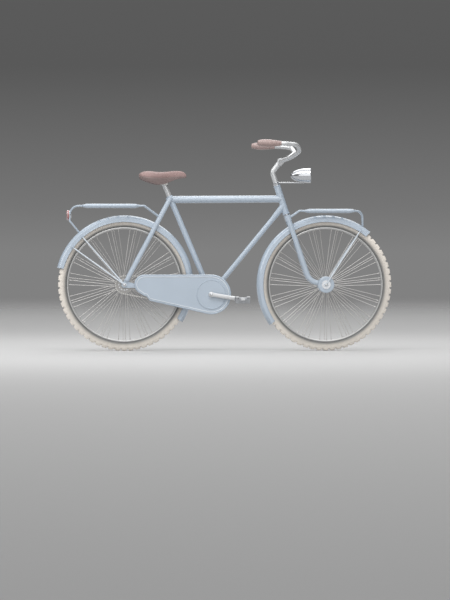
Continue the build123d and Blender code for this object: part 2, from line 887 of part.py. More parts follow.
rail_pair = saddle_rails.part
with BuildPart() as saddle_clamp:
    with BuildSketch(Plane.XY.offset(post_top.Z - saddle_clamp_below)):
        with Locations((post_top.X, 0)):
            RectangleRounded(saddle_clamp_length, 2 * (saddle_rail_half + saddle_clamp_side), saddle_clamp_side)
    extrude(amount=saddle_clamp_height)
    add(rail_pair, mode=Mode.SUBTRACT)
    add(seat_post_bar, mode=Mode.SUBTRACT)
write(largest(saddle_clamp.part), "saddle_clamp")


# Mudguards
def make_guard(axle, start_angle, end_angle):
    """A mudguard: a rounded channel swept round its wheel's axle."""
    radial = Vector(cos(radians(start_angle)), 0, sin(radians(start_angle)))
    inner_half = guard_half - guard_skin
    with BuildPart() as made:
        with BuildSketch(Plane(origin=axle, x_dir=leftward, z_dir=leftward.cross(radial))):
            with BuildLine():
                Line((-guard_half, guard_shoulder_radius), (-guard_half, guard_skirt_radius))
                Line((-guard_half, guard_skirt_radius), (-inner_half, guard_skirt_radius))
                Line((-inner_half, guard_skirt_radius), (-inner_half, guard_shoulder_radius))
                ThreePointArc(
                    (-inner_half, guard_shoulder_radius),
                    (0, guard_radius - guard_skin),
                    (inner_half, guard_shoulder_radius),
                )
                Line((inner_half, guard_shoulder_radius), (inner_half, guard_skirt_radius))
                Line((inner_half, guard_skirt_radius), (guard_half, guard_skirt_radius))
                Line((guard_half, guard_skirt_radius), (guard_half, guard_shoulder_radius))
                ThreePointArc(
                    (guard_half, guard_shoulder_radius), (0, guard_radius), (-guard_half, guard_shoulder_radius)
                )
            make_face()
        revolve(axis=Axis(axle, -leftward), revolution_arc=end_angle - start_angle)
    return made.part


rear_mudguard = make_guard(rear_axle, rear_guard_front_angle, rear_guard_back_angle)
front_mudguard = make_guard(front_axle, front_guard_front_angle, front_guard_back_angle)
write(rear_mudguard, "rear_mudguard")
write(front_mudguard, "front_mudguard")


def make_guard_stays(axle, angles, eye_inside, rod_half):
    """A mudguard's wire stays on the left: an eye on the axle and straight rods to the skirt."""
    rods = []
    skirt_half = guard_half + guard_stay_radius + weld_gap
    for angle in angles:
        rods.append(
            bar(
                polar(axle, stay_eye_radius - guard_stay_radius, angle, rod_half),
                polar(axle, guard_skirt_radius + guard_stay_overlap, angle, skirt_half),
                guard_stay_radius,
            )
        )
    eye = cross_bar(axle, eye_inside, eye_inside + stay_eye_thickness, stay_eye_radius)
    bore = cross_bar(axle, eye_inside, eye_inside + stay_eye_thickness, axle_radius + press_gap)
    nut_start = eye_inside + stay_eye_thickness
    nut_room = cross_bar(axle, nut_start, nut_start + axle_nut_height, axle_nut_radius + face_gap)
    with BuildPart() as made:
        add(rods)
        add(eye)
        add(bore, mode=Mode.SUBTRACT)
        add(nut_room, mode=Mode.SUBTRACT)
    return made.part


rear_eye_inside = dropout_outside + brake_arm_thickness
rear_rod_half = rear_eye_inside + stay_eye_thickness
write(
    both_sides(make_guard_stays(rear_axle, rear_guard_stay_angles, rear_eye_inside, rear_rod_half)),
    "rear_mudguard_stays",
)
front_dropout_outside = front_dropout_inside + dropout_thickness
disc_outside = front_dropout_outside + hub_disc_thickness
front_eye_inside = disc_outside + hub_washer_thickness
front_rod_half = front_eye_inside + stay_eye_thickness + guard_stay_radius / 2
write(
    both_sides(make_guard_stays(front_axle, (front_guard_stay_angle,), front_eye_inside, front_rod_half)),
    "front_mudguard_stays",
)

# Axles with their nuts
rear_nut_start = rear_eye_inside + stay_eye_thickness
rear_nut_end = rear_nut_start + axle_nut_height
with BuildPart() as rear_axle_part:
    with BuildSketch(side_plane(rear_axle, rear_nut_end)):
        Circle(axle_radius)
    extrude(amount=2 * rear_nut_end)
    for nut_start in (rear_nut_end, -rear_nut_start):
        with BuildSketch(side_plane(rear_axle, nut_start)):
            RegularPolygon(axle_nut_radius, 6)
        extrude(amount=axle_nut_height)
    with BuildSketch(side_plane(rear_axle, -dropout_outside)):
        Circle(stay_eye_radius)
    extrude(amount=brake_arm_thickness)
write(rear_axle_part.part, "rear_axle")

front_nut_start = front_eye_inside + stay_eye_thickness
front_nut_end = front_nut_start + axle_nut_height
with BuildPart() as front_axle_part:
    with BuildSketch(side_plane(front_axle, front_nut_end)):
        Circle(axle_radius)
    extrude(amount=2 * front_nut_end)
    for washer_start, nut_start in ((front_eye_inside, front_nut_end), (-disc_outside, -front_nut_start)):
        with BuildSketch(side_plane(front_axle, washer_start)):
            Circle(hub_washer_radius)
        extrude(amount=hub_washer_thickness)
        with BuildSketch(side_plane(front_axle, nut_start)):
            RegularPolygon(axle_nut_radius, 6)
        extrude(amount=axle_nut_height)
write(front_axle_part.part, "front_axle")

# Coaster brake arm along the left chain stay
brake_arm_direction = (crank_centre - rear_axle).normalized()
brake_arm_end = rear_axle + brake_arm_direction * brake_arm_length
brake_side = brake_arm_direction.cross(leftward) * brake_arm_half
brake_outline = []
for corner in (rear_axle + brake_side, brake_arm_end + brake_side, brake_arm_end - brake_side, rear_axle - brake_side):
    brake_outline.append((corner.X, corner.Z))
brake_arm_outside = dropout_outside + brake_arm_thickness
brake_arm_bar = plate(brake_outline, dropout_outside, brake_arm_outside)
brake_arm_eye = cross_bar(rear_axle, dropout_outside, brake_arm_outside, brake_eye_radius)
brake_arm_hole = cross_bar(rear_axle, dropout_outside, brake_arm_outside, axle_radius + press_gap)
brake_clip_centre = rear_axle + brake_arm_direction * (brake_arm_length - brake_arm_half)
brake_clip = cross_bar(brake_clip_centre, brake_clip_inside, brake_arm_outside, brake_clip_radius)
with BuildPart() as brake_arm:
    add(brake_arm_bar)
    add(brake_arm_eye)
    add(brake_clip)
    add(brake_arm_hole, mode=Mode.SUBTRACT)
    add(chain_stay_solid, mode=Mode.SUBTRACT)
write(largest(brake_arm.part), "coaster_brake_arm")

# Chaincase
case_top_z = crank_centre.Z + case_front_radius
nose_centre = Vector(crank_centre.X - case_nose_back, 0, case_top_z - case_nose_radius)
nose_start = polar(nose_centre, case_nose_radius, 90)
nose_middle = polar(nose_centre, case_nose_radius, (90 + case_nose_end_angle) / 2)
nose_end = polar(nose_centre, case_nose_radius, case_nose_end_angle)
front_start = polar(crank_centre, case_front_radius, -90 - case_bottom_slope)
front_middle = polar(crank_centre, case_front_radius, 0)
front_end = polar(crank_centre, case_front_radius, 90)
step_foot_x = crank_centre.X - case_step_back
step_foot = (step_foot_x, front_start.Z + (front_start.X - step_foot_x) * tan(radians(case_bottom_slope)))
step_corners = [(crank_centre.X + ahead, crank_centre.Z + rise) for ahead, rise in case_step]


def case_solid(inset, start_half, end_half, edge):
    """The chaincase's outline as a solid with a rounded outer edge."""
    with BuildPart() as made:
        with BuildSketch(side_plane(Vector(0, 0, 0), start_half)) as outline:
            with BuildLine():
                Line(seen(front_end), seen(nose_start))
                ThreePointArc(seen(nose_start), seen(nose_middle), seen(nose_end))
                Polyline(seen(nose_end), *step_corners, step_foot, seen(front_start))
                ThreePointArc(seen(front_start), seen(front_middle), seen(front_end))
            make_face()
            if inset > 0:
                offset(amount=-inset, kind=Kind.INTERSECTION, mode=Mode.REPLACE)
        extrude(amount=start_half - end_half)
        chamfer(made.faces().sort_by(Axis.Y)[0].edges(), edge)
    return made.part


case_outer = case_solid(0, -case_inside, -case_outside, case_edge)
case_hollow = case_solid(case_wall, -case_inside, -case_outside + case_wall, case_edge - case_wall)
crank_hole_radius = crank_boss_radius + crank_boss_gap
case_crank_hole = cross_bar(crank_centre, -crank_inside, 0, crank_hole_radius)
with BuildPart() as chaincase:
    add(case_outer)
    add(case_hollow, mode=Mode.SUBTRACT)
    add(case_crank_hole, mode=Mode.SUBTRACT)
    with BuildSketch(side_plane(Vector(0, 0, 0), 0)):
        with Locations((crank_centre.X - case_shallow_back, crank_centre.Z)):
            Rectangle(case_nose_back, case_nose_back, align=(Align.MAX, Align.CENTER))
    extrude(amount=case_outside - case_wall - case_shallow_lip, mode=Mode.SUBTRACT)
write(largest(chaincase.part), "chaincase")

write(
    turned(
        crank_centre,
        leftward,
        (
            (-case_outside, crank_hole_radius),
            (-case_outside - case_cover_thickness, crank_hole_radius),
            (-case_outside - case_cover_thickness, case_cover_radius - case_cover_thickness),
            (-case_outside, case_cover_radius),
        ),
    ),
    "chaincase_cover",
)

case_brackets = []
for bracket_back in case_bracket_back:
    bracket_place = on_chain_stay(crank_centre.X - bracket_back)
    case_brackets.append(
        cross_bar(bracket_place, -case_outside + case_wall, -chain_stay_guard_half, case_bracket_radius)
    )
right_chain_stay_blank = mirror(chain_stay_blank, about=Plane.XZ)
bracket_solids = []
for bracket_blank in case_brackets:
    with BuildPart() as case_bracket:
        add(bracket_blank)
        add(right_chain_stay_blank, mode=Mode.SUBTRACT)
    bracket_solids.append(case_bracket.part.solids().sort_by(Axis.Y)[0])
with BuildPart() as chaincase_brackets:
    add(bracket_solids)
write(chaincase_brackets.part, "chaincase_brackets")

# Cranks: the right one points forward and the left one back
right_pedal_centre = polar(crank_centre, crank_length, crank_angle)
left_pedal_centre = polar(crank_centre, crank_length, crank_angle + 180)
crank_outside = crank_inside + crank_thickness
pedal_end = crank_outside + pedal_gap + pedal_width
bracket_axle_end = crank_outside - bracket_axle_inset
write(cross_bar(crank_centre, -bracket_axle_end, bracket_axle_end, bracket_axle_radius), "crank_axle")


def make_crank(direction_angle, side, boss_start):
    """A crank arm with its boss on the axle and its pedal pin."""
    pedal_centre = polar(crank_centre, crank_length, direction_angle)
    along = (pedal_centre - crank_centre).normalized()
    across = along.cross(leftward)
    arm_corners = (
        crank_centre + across * crank_arm_root,
        pedal_centre + across * crank_arm_tip,
        pedal_centre - across * crank_arm_tip,
        crank_centre - across * crank_arm_root,
    )
    arm = plate([seen(corner) for corner in arm_corners], side * crank_inside, side * crank_outside)
    root = cross_bar(crank_centre, side * crank_inside, side * crank_outside, crank_root_radius)
    tip = cross_bar(pedal_centre, side * crank_inside, side * crank_outside, crank_tip_radius)
    boss = cross_bar(crank_centre, side * boss_start, side * crank_inside, crank_boss_radius)
    pin = cross_bar(pedal_centre, side * crank_inside, side * pedal_end, pedal_pin_radius)
    bore = cross_bar(crank_centre, side * boss_start, side * bracket_axle_end, bracket_axle_radius + press_gap)
    with BuildPart() as made:
        add(arm)
        add(root)
        add(tip)
        add(boss)
        add(pin)
        add(bore, mode=Mode.SUBTRACT)
    return made.part


write(make_crank(crank_angle, -1, sprocket_outside), "crank_right")
write(make_crank(crank_angle + 180, 1, left_boss_start), "crank_left")


# Pedals
def make_pedal_cage(centre, side):
    """A pedal's barrel between two end plates, with the bore for its pin."""
    start = side * (crank_outside + pedal_gap)
    end = side * pedal_end
    near_plate_end = side * (crank_outside + pedal_gap + pedal_cage_thickness)
    far_plate_start = side * (pedal_end - pedal_cage_thickness)
    half_length = pedal_length / 2 - pedal_rubber_length
    barrel = cross_bar(centre, start, end, pedal_barrel_radius)
    corners = (
        (centre.X - half_length, centre.Z - pedal_cage_height / 2),
        (centre.X + half_length, centre.Z - pedal_cage_height / 2),
        (centre.X + half_length, centre.Z + pedal_cage_height / 2),
        (centre.X - half_length, centre.Z + pedal_cage_height / 2),
    )
    near_plate = plate(corners, start, near_plate_end)
    far_plate = plate(corners, far_plate_start, end)
    bore = cross_bar(centre, start, end, pedal_pin_radius + running_gap)
    with BuildPart() as made:
        add(barrel)
        add(near_plate)
        add(far_plate)
        add(bore, mode=Mode.SUBTRACT)
    return made.part


def make_pedal_rubbers(centre, side):
    """The two ribbed rubber blocks of a pedal, in front of its cage and behind it."""
    start = crank_outside + pedal_gap
    width_middle = side * (start + pedal_width / 2)
    block_middle = pedal_length / 2 - pedal_rubber_length / 2
    with BuildPart() as made:
        with Locations(
            (centre.X - block_middle, width_middle, centre.Z), (centre.X + block_middle, width_middle, centre.Z)
        ):
            Box(pedal_rubber_length, pedal_width, pedal_rubber_height)
        chamfer(made.edges().filter_by(Axis.Y), pedal_rubber_edge)
    return made.part


for name, centre, side in (("right", right_pedal_centre, -1), ("left", left_pedal_centre, 1)):
    write(make_pedal_cage(centre, side), f"pedal_cage_{name}")
    write(make_pedal_rubbers(centre, side), f"pedal_rubbers_{name}")

# Fork
guard_crown_place = crown_end + fork_length - sqrt(guard_radius**2 - fork_rake**2)
guard_core = cross_bar(front_axle, -guard_half, guard_half, guard_radius + weld_gap)
steerer_bar = bar(on_steering(-stem_foot), on_steering(crown_place + crown_gap), steerer_radius)
guard_bolt_bar = bar(
    on_steering(crown_end - crown_gap), on_steering(guard_crown_place + guard_bolt_radius), guard_bolt_radius
)
with BuildPart() as fork_crown:
    with BuildSketch(Plane(origin=on_steering(crown_place), x_dir=ahead_steering, z_dir=down_steering)):
        RectangleRounded(crown_length, 2 * crown_half, crown_corner)
    extrude(amount=crown_height)
    add(steerer_bar)
    add(guard_bolt_bar)
    add(guard_core, mode=Mode.SUBTRACT)
fork_crown_solid = largest(fork_crown.part)
write(fork_crown_solid, "fork_crown")

blade_bend_point = on_steering(crown_end + fork_length - blade_bend_rise, blade_bend_ahead, blade_end_half)
blade_tip = front_axle + leftward * blade_end_half
tip_direction = (blade_tip - blade_bend_point).normalized()
blade_end = blade_tip - tip_direction * (hub_disc_radius + blade_end_gap)
blade_top = on_steering(crown_end - blade_sink, 0, blade_half)
blade_blank = oval_tube((blade_top, blade_bend_point, blade_end), blade_bend, blade_side, blade_across)
tip_side = tip_direction.cross(leftward) * front_dropout_half
dropout_top = blade_tip - tip_direction * front_dropout_reach
front_dropout_web = []
for corner in (dropout_top + tip_side, blade_tip + tip_side, blade_tip - tip_side, dropout_top - tip_side):
    front_dropout_web.append(seen(corner))
front_dropout_plate = plate(front_dropout_web, front_dropout_inside, front_dropout_outside)
front_dropout_round = cross_bar(front_axle, front_dropout_inside, front_dropout_outside, front_dropout_radius)
front_axle_hole = cross_bar(front_axle, front_dropout_inside, front_dropout_outside, axle_radius + press_gap)
with BuildPart() as front_dropout_blank:
    add(front_dropout_plate)
    add(front_dropout_round)
with BuildPart() as left_front_dropout:
    add(front_dropout_blank.part)
    add(front_axle_hole, mode=Mode.SUBTRACT)
write(both_sides(left_front_dropout.part), "front_dropouts")
with BuildPart() as left_blade:
    add(blade_blank)
    add(front_dropout_blank.part, mode=Mode.SUBTRACT)
    add(fork_crown_solid, mode=Mode.SUBTRACT)
write(both_sides(largest(left_blade.part)), "fork_blades")

hub_disc = turned(
    front_axle,
    leftward,
    (
        (front_dropout_outside, axle_radius + press_gap),
        (front_dropout_outside, hub_disc_radius),
        (disc_outside - hub_disc_edge, hub_disc_radius),
        (disc_outside, hub_disc_radius - hub_disc_slope),
        (disc_outside, axle_radius + press_gap),
    ),
)
write(both_sides(hub_disc), "front_hub_discs")

# Stem and handlebar
bar_middle = from_head(bar_bends[0][0], 0, bar_bends[0][2])
stem_route = (on_steering(-stem_foot), on_steering(-stem_kink_height), bar_middle)
stem_tube = bent_rod(stem_route, stem_bend, stem_radius)
clamp_sleeve = cross_bar(bar_middle, -clamp_half, clamp_half, clamp_radius)
clamp_bore = cross_bar(bar_middle, -clamp_half, clamp_half, bar_radius + press_gap)
with BuildPart() as stem:
    add(stem_tube)
    add(clamp_sleeve)
    add(clamp_bore, mode=Mode.SUBTRACT)
write(largest(stem.part), "stem")

bar_end_point = from_head(*bar_end)
last_bend = from_head(*bar_bends[-1])
grip_direction = (bar_end_point - last_bend).normalized()
bar_tip = bar_end_point - grip_direction * grip_end_cap
left_points = [from_head(*bend) for bend in bar_bends] + [bar_tip]
right_points = [Vector(point.X, -point.Y, point.Z) for point in reversed(left_points)]
route_radii = list(reversed(bar_bend_radii)) + list(bar_bend_radii)
write(bent_rod(right_points + left_points, route_radii, bar_radius), "handlebar")

grip_start = bar_end_point - grip_direction * grip_length
grip_profile = (
    (0, bar_radius + press_gap),
    (0, grip_mouth_radius),
    (grip_mouth_length, grip_radius),
    (grip_length - grip_tail_length, grip_radius),
    (grip_length, grip_tail_radius),
    (grip_length, 0),
    (grip_length - grip_end_cap + weld_gap, 0),
    (grip_length - grip_end_cap + weld_gap, bar_radius + press_gap),
)
left_grip = turned(grip_start, grip_direction, grip_profile)
write(left_grip, "grip_left")
write(mirror(left_grip, about=Plane.XZ), "grip_right")

# Headlamp
lamp_tail = from_head(lamp_ahead, 0, lamp_rise)
lamp_outline = [(0, 0), (0, lamp_tail_radius)]
for share in (0.08, 0.2, 0.35, 0.55, 0.8):
    lamp_outline.append((share * lamp_length, lamp_radius * sqrt(1 - (1 - share) ** lamp_curve)))
lamp_outline.append((lamp_length, lamp_radius))
lens_seat_radius = lamp_radius - lamp_rim_wall
lamp_outline.append((lamp_length, lens_seat_radius))
lamp_outline.append((lamp_length - lamp_rim_recess, lens_seat_radius))
lamp_outline.append((lamp_length - lamp_rim_recess, 0))
lamp_shell = turned(lamp_tail, forward, lamp_outline)
write(lamp_shell, "headlamp_shell")
write(
    turned(
        lamp_tail,
        forward,
        (
            (lamp_length - lamp_rim_recess, 0),
            (lamp_length - lamp_rim_recess, lens_seat_radius - press_gap),
            (lamp_length - lamp_rim_recess + lens_edge, lens_seat_radius - press_gap),
            (lamp_length + lens_bulge / 2, lens_seat_radius / 2),
            (lamp_length + lens_bulge, 0),
        ),
    ),
    "headlamp_lens",
)
lamp_rod = bar(from_head(0, 0, lamp_rod_rise), from_head(lamp_rod_reach, 0, lamp_rod_rise), lamp_rod_radius)
with BuildPart() as headlamp_bracket:
    add(lamp_rod)
    add(stem_tube, mode=Mode.SUBTRACT)
    add(lamp_shell, mode=Mode.SUBTRACT)
write(largest(headlamp_bracket.part), "headlamp_bracket")


# Racks
def make_deck(axle, x_span, rise, half):
    """A rack's deck: two rails that taper at both ends, with flat slats level with their tops."""
    length = x_span[1] - x_span[0]
    rail_start = axle + Vector(x_span[0], half, guard_radius + rise)
    rail = turned(
        rail_start,
        forward,
        (
            (0, 0),
            (0, rail_tip_radius),
            (rail_taper, rail_radius),
            (length - rail_taper, rail_radius),
            (length, rail_tip_radius),
            (length, 0),
        ),
    )
    rails = both_sides(rail)
    spacing = (length - 2 * rail_taper) / slat_count
    with BuildPart() as made:
        add(rails)
        with BuildSketch(Plane.XY.offset(rail_start.Z + rail_radius)):
            with Locations((rail_start.X + length / 2, 0)):
                with GridLocations(spacing, 0, slat_count, 1):
                    Rectangle(slat_width, 2 * half)
        extrude(amount=-slat_thickness)
    return made.part


def make_rod(axle, rise, rail_end, half, bends, radii, seat):
    """A rod from a rail's end through its bends to its seat, on the left."""
    rail_place = axle + Vector(0, 0, guard_radius + rise)
    points = [rail_place + Vector(rail_end, half, 0)]
    for ahead, bend_half, bend_rise in bends:
        points.append(rail_place + Vector(ahead, bend_half, bend_rise))
    points.append(seat)
    return bent_rod(points, radii, rod_radius)


def make_rods(rods, cutters):
    """A rack's rods on both sides, cut back from what carries them."""
    kept = []
    for rod in rods:
        with BuildPart() as cut:
            add(rod)
            for cutter in cutters:
                add(cutter, mode=Mode.SUBTRACT)
        kept.append(both_sides(largest(cut.part)))
    with BuildPart() as made:
        add(kept)
    return made.part


stay_share = (rear_strut_seat - guard_radius - seat_stay_across) / (
    (seat_stay_top - rear_axle).length - guard_radius - seat_stay_across
)
strut_seat_half = seat_stay_guard_half + (seat_stay_top_half - seat_stay_guard_half) * stay_share
rear_strut_end = rear_axle - stay_line * rear_strut_seat + leftward * strut_seat_half
rear_foot = polar(rear_axle, guard_radius - rod_sink, rear_back_foot_angle, rod_foot_half)
front_foot = polar(front_axle, guard_radius - rod_sink, front_strut_foot_angle, rod_foot_half)
front_seat = on_steering(crown_place + crown_height / 2, front_back_seat_ahead, front_back_seat_half)
rear_back_rod = make_rod(
    rear_axle, rear_rail_rise, rear_rail_x[0], rear_rail_half, rear_back_bends, rear_back_radii, rear_foot
)
rear_strut = make_rod(
    rear_axle, rear_rail_rise, rear_rail_x[1], rear_rail_half, (rear_strut_bend,), rod_kink, rear_strut_end
)
front_back_rod = make_rod(
    front_axle, front_rail_rise, front_rail_x[0], front_rail_half, (front_back_bend,), rod_kink, front_seat
)
front_strut = make_rod(
    front_axle, front_rail_rise, front_rail_x[1], front_rail_half, (front_strut_bend,), front_rod_arc, front_foot
)
rear_guard_core = cross_bar(rear_axle, -guard_half, guard_half, guard_radius + weld_gap)
rear_deck = make_deck(rear_axle, rear_rail_x, rear_rail_rise, rear_rail_half)
front_deck = make_deck(front_axle, front_rail_x, front_rail_rise, front_rail_half)
write(make_rods((rear_back_rod, rear_strut), (rear_guard_core, seat_stay_pair, rear_deck)), "rear_rack_rods")
write(make_rods((front_back_rod, front_strut), (guard_core, fork_crown_solid, front_deck)), "front_rack_rods")
write(rear_deck, "rear_rack_deck")
write(front_deck, "front_rack_deck")

reflector_ahead = rear_back_bends[-1][0] - rod_radius - weld_gap
reflector_rise = guard_radius + rear_rail_rise - rear_reflector_drop
write(
    turned(
        rear_axle + Vector(reflector_ahead, 0, reflector_rise),
        -forward,
        (
            (0, 0),
            (0, rear_reflector_radius),
            (rear_reflector_thickness - rear_reflector_edge, rear_reflector_radius),
            (rear_reflector_thickness, rear_reflector_radius - rear_reflector_edge),
            (rear_reflector_thickness, 0),
        ),
    ),
    "rear_reflector",
)
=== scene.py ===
import bmesh
import bpy
import json
from math import atan2, copysign, cos, pi, radians, sin, sqrt, tan
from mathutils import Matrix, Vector


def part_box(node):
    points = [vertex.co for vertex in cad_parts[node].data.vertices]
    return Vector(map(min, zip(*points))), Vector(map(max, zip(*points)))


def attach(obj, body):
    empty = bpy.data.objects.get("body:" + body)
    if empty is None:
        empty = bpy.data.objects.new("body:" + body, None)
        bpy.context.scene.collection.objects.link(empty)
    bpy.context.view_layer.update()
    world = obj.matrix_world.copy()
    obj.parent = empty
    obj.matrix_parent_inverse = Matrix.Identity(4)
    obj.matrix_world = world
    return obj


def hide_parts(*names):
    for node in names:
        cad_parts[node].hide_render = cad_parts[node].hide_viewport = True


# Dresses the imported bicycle: finishes for every piece, modelled soft and fine parts, floor, light and camera.
# Lengths are in metres, or in millimetres where a comment says so.
# +X is forward, +Y is the rider's left and +Z is up.

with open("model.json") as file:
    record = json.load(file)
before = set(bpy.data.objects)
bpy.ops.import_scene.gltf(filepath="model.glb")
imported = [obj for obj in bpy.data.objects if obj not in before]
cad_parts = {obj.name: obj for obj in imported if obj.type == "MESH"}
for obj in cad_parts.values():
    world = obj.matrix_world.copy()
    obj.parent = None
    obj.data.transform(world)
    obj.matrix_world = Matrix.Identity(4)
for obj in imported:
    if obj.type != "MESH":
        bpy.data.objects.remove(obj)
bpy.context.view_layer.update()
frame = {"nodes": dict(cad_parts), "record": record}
nodes = frame["nodes"]

# Camera: the photograph's frame, its scale at the bicycle's middle plane and its viewing angle
photo_width = 450
photo_height = 600
metres_per_pixel = 0.00547
seat_point_pixel = (157.0, 172.2)
camera_distance = 20.0
camera_azimuth = -2.7
camera_elevation = 0.75
sensor_long_side = 36.0

# Floor and studio
floor_radius = 120.0
floor_fade_start = 3.0
floor_fade_end = 24.0
floor_grey = 0.50
# The surround's brightness by height: the sine of the angle above the horizon, and the brightness there
surround = ((0.0, 0.22), (0.012, 0.18), (0.05, 0.10), (0.30, 0.14), (0.60, 0.40), (0.78, 0.90), (1.0, 1.15))
surround_strength = 2.0
# Each sun's name, bearing from +X, height above the horizon and softness in degrees, and strength
suns = (
    ("key", -118, 40, 20, 0.30),
    ("fill", -86, 4, 60, 1.0),
    ("side", -165, 22, 25, 0.40),
    ("back", 80, 35, 30, 0.35),
)
# Each softbox's name, place, length, width and power
softboxes = (
    ("front_box", (-0.7, -1.9, 2.6), 5.0, 1.6, 85),
    ("back_box", (0.1, 2.2, 2.4), 5.0, 1.6, 45),
)
softbox_aim_height = -0.5

# Tints of the finishes, in linear light
paint_tint = (0.405, 0.475, 0.555)
# The edge bead's lighter tint is a painted highlight: the light caught along the chaincase's rounded edge
bead_highlight_tint = (0.66, 0.71, 0.76)
stay_paint_tint = (0.60, 0.66, 0.72)
chrome_tint = (0.62, 0.635, 0.66)
satin_tint = (0.62, 0.63, 0.64)
rim_tint = (0.50, 0.50, 0.495)
steel_tint = (0.68, 0.665, 0.64)
dark_steel_tint = (0.40, 0.392, 0.38)
bright_steel_tint = (0.84, 0.83, 0.80)
spoke_tint = (0.60, 0.585, 0.57)
leather_tint = (0.285, 0.192, 0.183)
skirt_tint = (0.235, 0.178, 0.171)
grip_tint = (0.36, 0.268, 0.252)
rubber_tint = (0.28, 0.29, 0.305)
tyre_cream = (0.84, 0.785, 0.715)
# The grey of the shade painted on the tyres' sidewalls towards the rim
tyre_shade_grey = (0.20, 0.20, 0.195)
reflector_tint = (0.38, 0.07, 0.065)
# How far in from the tread the tyre's painted shade reaches, from cream down to grey at the rim
tyre_shade_depth = 0.048


def middle_of(node):
    """The middle of a CAD node's box."""
    low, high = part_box(node)
    return (Vector(low) + Vector(high)) / 2


def size_of(node):
    """The size of a CAD node's box."""
    low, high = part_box(node)
    return Vector(high) - Vector(low)


# Places read from the frame
rear_axle = middle_of("rear_tyre")
front_axle = middle_of("front_tyre")
crank_centre = middle_of("crank_axle")
ground_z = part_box("rear_tyre")[0][2]
tyre_radius = size_of("rear_tyre").z / 2


# Materials
def shade(colour, amount):
    """A colour made lighter or darker by one factor."""
    return tuple(min(1.0, part * amount) for part in colour)


def set_stops(ramp, stops):
    """Gives a colour ramp node its (place, colour) stops."""
    elements = ramp.color_ramp.elements
    while len(elements) < len(stops):
        elements.new(0.5)
    for element, (place, colour) in zip(elements, stops):
        element.position = place
        element.color = (*colour, 1)


class Finish:
    """A node material, with short ways to add and join its nodes."""

    def __init__(self, name):
        self.material = bpy.data.materials.new(name)
        self.material.use_nodes = True
        self.tree = self.material.node_tree
        self.shader = self.tree.nodes["Principled BSDF"]
        self.place = self.tree.nodes.new("ShaderNodeTexCoord").outputs["Object"]

    def node(self, kind, **values):
        """A new node, with its inputs or settings given by name."""
        made = self.tree.nodes.new(kind)
        for key, value in values.items():
            label = key.replace("_", " ").title()
            if label in made.inputs:
                made.inputs[label].default_value = value
            else:
                setattr(made, key, value)
        return made

    def join(self, output, target):
        """Joins one node's output to another's input."""
        self.tree.links.new(output, target)

    def set(self, **values):
        """Sets the shader's own sockets."""
        for key, value in values.items():
            self.shader.inputs[key.replace("_", " ")].default_value = value

    def noise(self, scale, detail=4.0, stretch=(1, 1, 1)):
        """Noise in the object's space, as a factor from 0 to 1."""
        mapping = self.node("ShaderNodeMapping")
        mapping.inputs["Scale"].default_value = stretch
        self.join(self.place, mapping.inputs["Vector"])
        texture = self.node("ShaderNodeTexNoise", scale=scale, detail=detail)
        self.join(mapping.outputs["Vector"], texture.inputs["Vector"])
        return texture.outputs["Fac"]

    def ramp(self, factor, stops):
        """A colour ramp with (place, colour) stops."""
        made = self.node("ShaderNodeValToRGB")
        set_stops(made, stops)
        self.join(factor, made.inputs["Fac"])
        return made.outputs["Color"]

    def colour(self, factor, tint, dark, light, start=0.3, end=0.7):
        """Sets the base colour: the tint, made darker and lighter by a factor from 0 to 1."""
        tones = self.ramp(factor, ((start, shade(tint, dark)), (end, shade(tint, light))))
        self.join(tones, self.shader.inputs["Base Color"])

    def roughness(self, factor, low, high):
        """Sets the roughness between two numbers, by a factor from 0 to 1."""
        tones = self.ramp(factor, ((0.3, (low,) * 3), (0.7, (high,) * 3)))
        self.join(tones, self.shader.inputs["Roughness"])

    def bump(self, height, strength, distance):
        """Adds a bump to the shader, over any bump it already has."""
        made = self.node("ShaderNodeBump", strength=strength, distance=distance)
        self.join(height, made.inputs["Height"])
        normal = self.shader.inputs["Normal"]
        if normal.is_linked:
            self.join(normal.links[0].from_socket, made.inputs["Normal"])
        self.join(made.outputs["Normal"], normal)


def make_paint(name, tint):
    """Enamel under a clear coat, with a faint orange peel and a little dust."""
    finish = Finish(name)
    finish.colour(finish.noise(6.0, 3.0), tint, 0.97, 1.03)
    finish.roughness(finish.noise(40.0), 0.32, 0.38)
    finish.set(Coat_Weight=1.0, Coat_Roughness=0.14, Specular_IOR_Level=0.5)
    finish.bump(finish.noise(500.0, 2.0), 0.02, 0.0001)
    return finish.material


def make_metal(name, tint, low, high, scratch, metallic=1.0):
    """A bright metal with fine scratches in its roughness."""
    finish = Finish(name)
    finish.colour(finish.noise(25.0, 4.0), tint, 0.94, 1.0)
    finish.roughness(finish.noise(220.0, 6.0, (1, 0.15, 1)), low, high)
    finish.set(Metallic=metallic, Coat_Weight=1.0 - metallic, Coat_Roughness=0.12)
    finish.bump(finish.noise(1400.0, 3.0), scratch, 0.0001)
    return finish.material


def make_leather(name, tint, low, high, grain_depth):
    """Soft leather with a pebbled grain and worn, lighter patches."""
    finish = Finish(name)
    wear = finish.noise(22.0, 5.0)
    finish.colour(wear, tint, 0.94, 1.06, start=0.35)
    grain = finish.node("ShaderNodeTexVoronoi", scale=750.0, feature="DISTANCE_TO_EDGE")
    finish.join(finish.place, grain.inputs["Vector"])
    finish.roughness(wear, low, high)
    finish.bump(grain.outputs["Distance"], grain_depth, 0.0002)
    finish.set(Specular_IOR_Level=0.5)
    return finish.material


def make_rubber(name, tint):
    """Moulded rubber with a fine matt grain."""
    finish = Finish(name)
    cloud = finish.noise(60.0, 5.0)
    finish.colour(cloud, tint, 0.88, 1.08)
    finish.roughness(cloud, 0.48, 0.62)
    finish.bump(finish.noise(1500.0, 2.0), 0.2, 0.0003)
    return finish.material


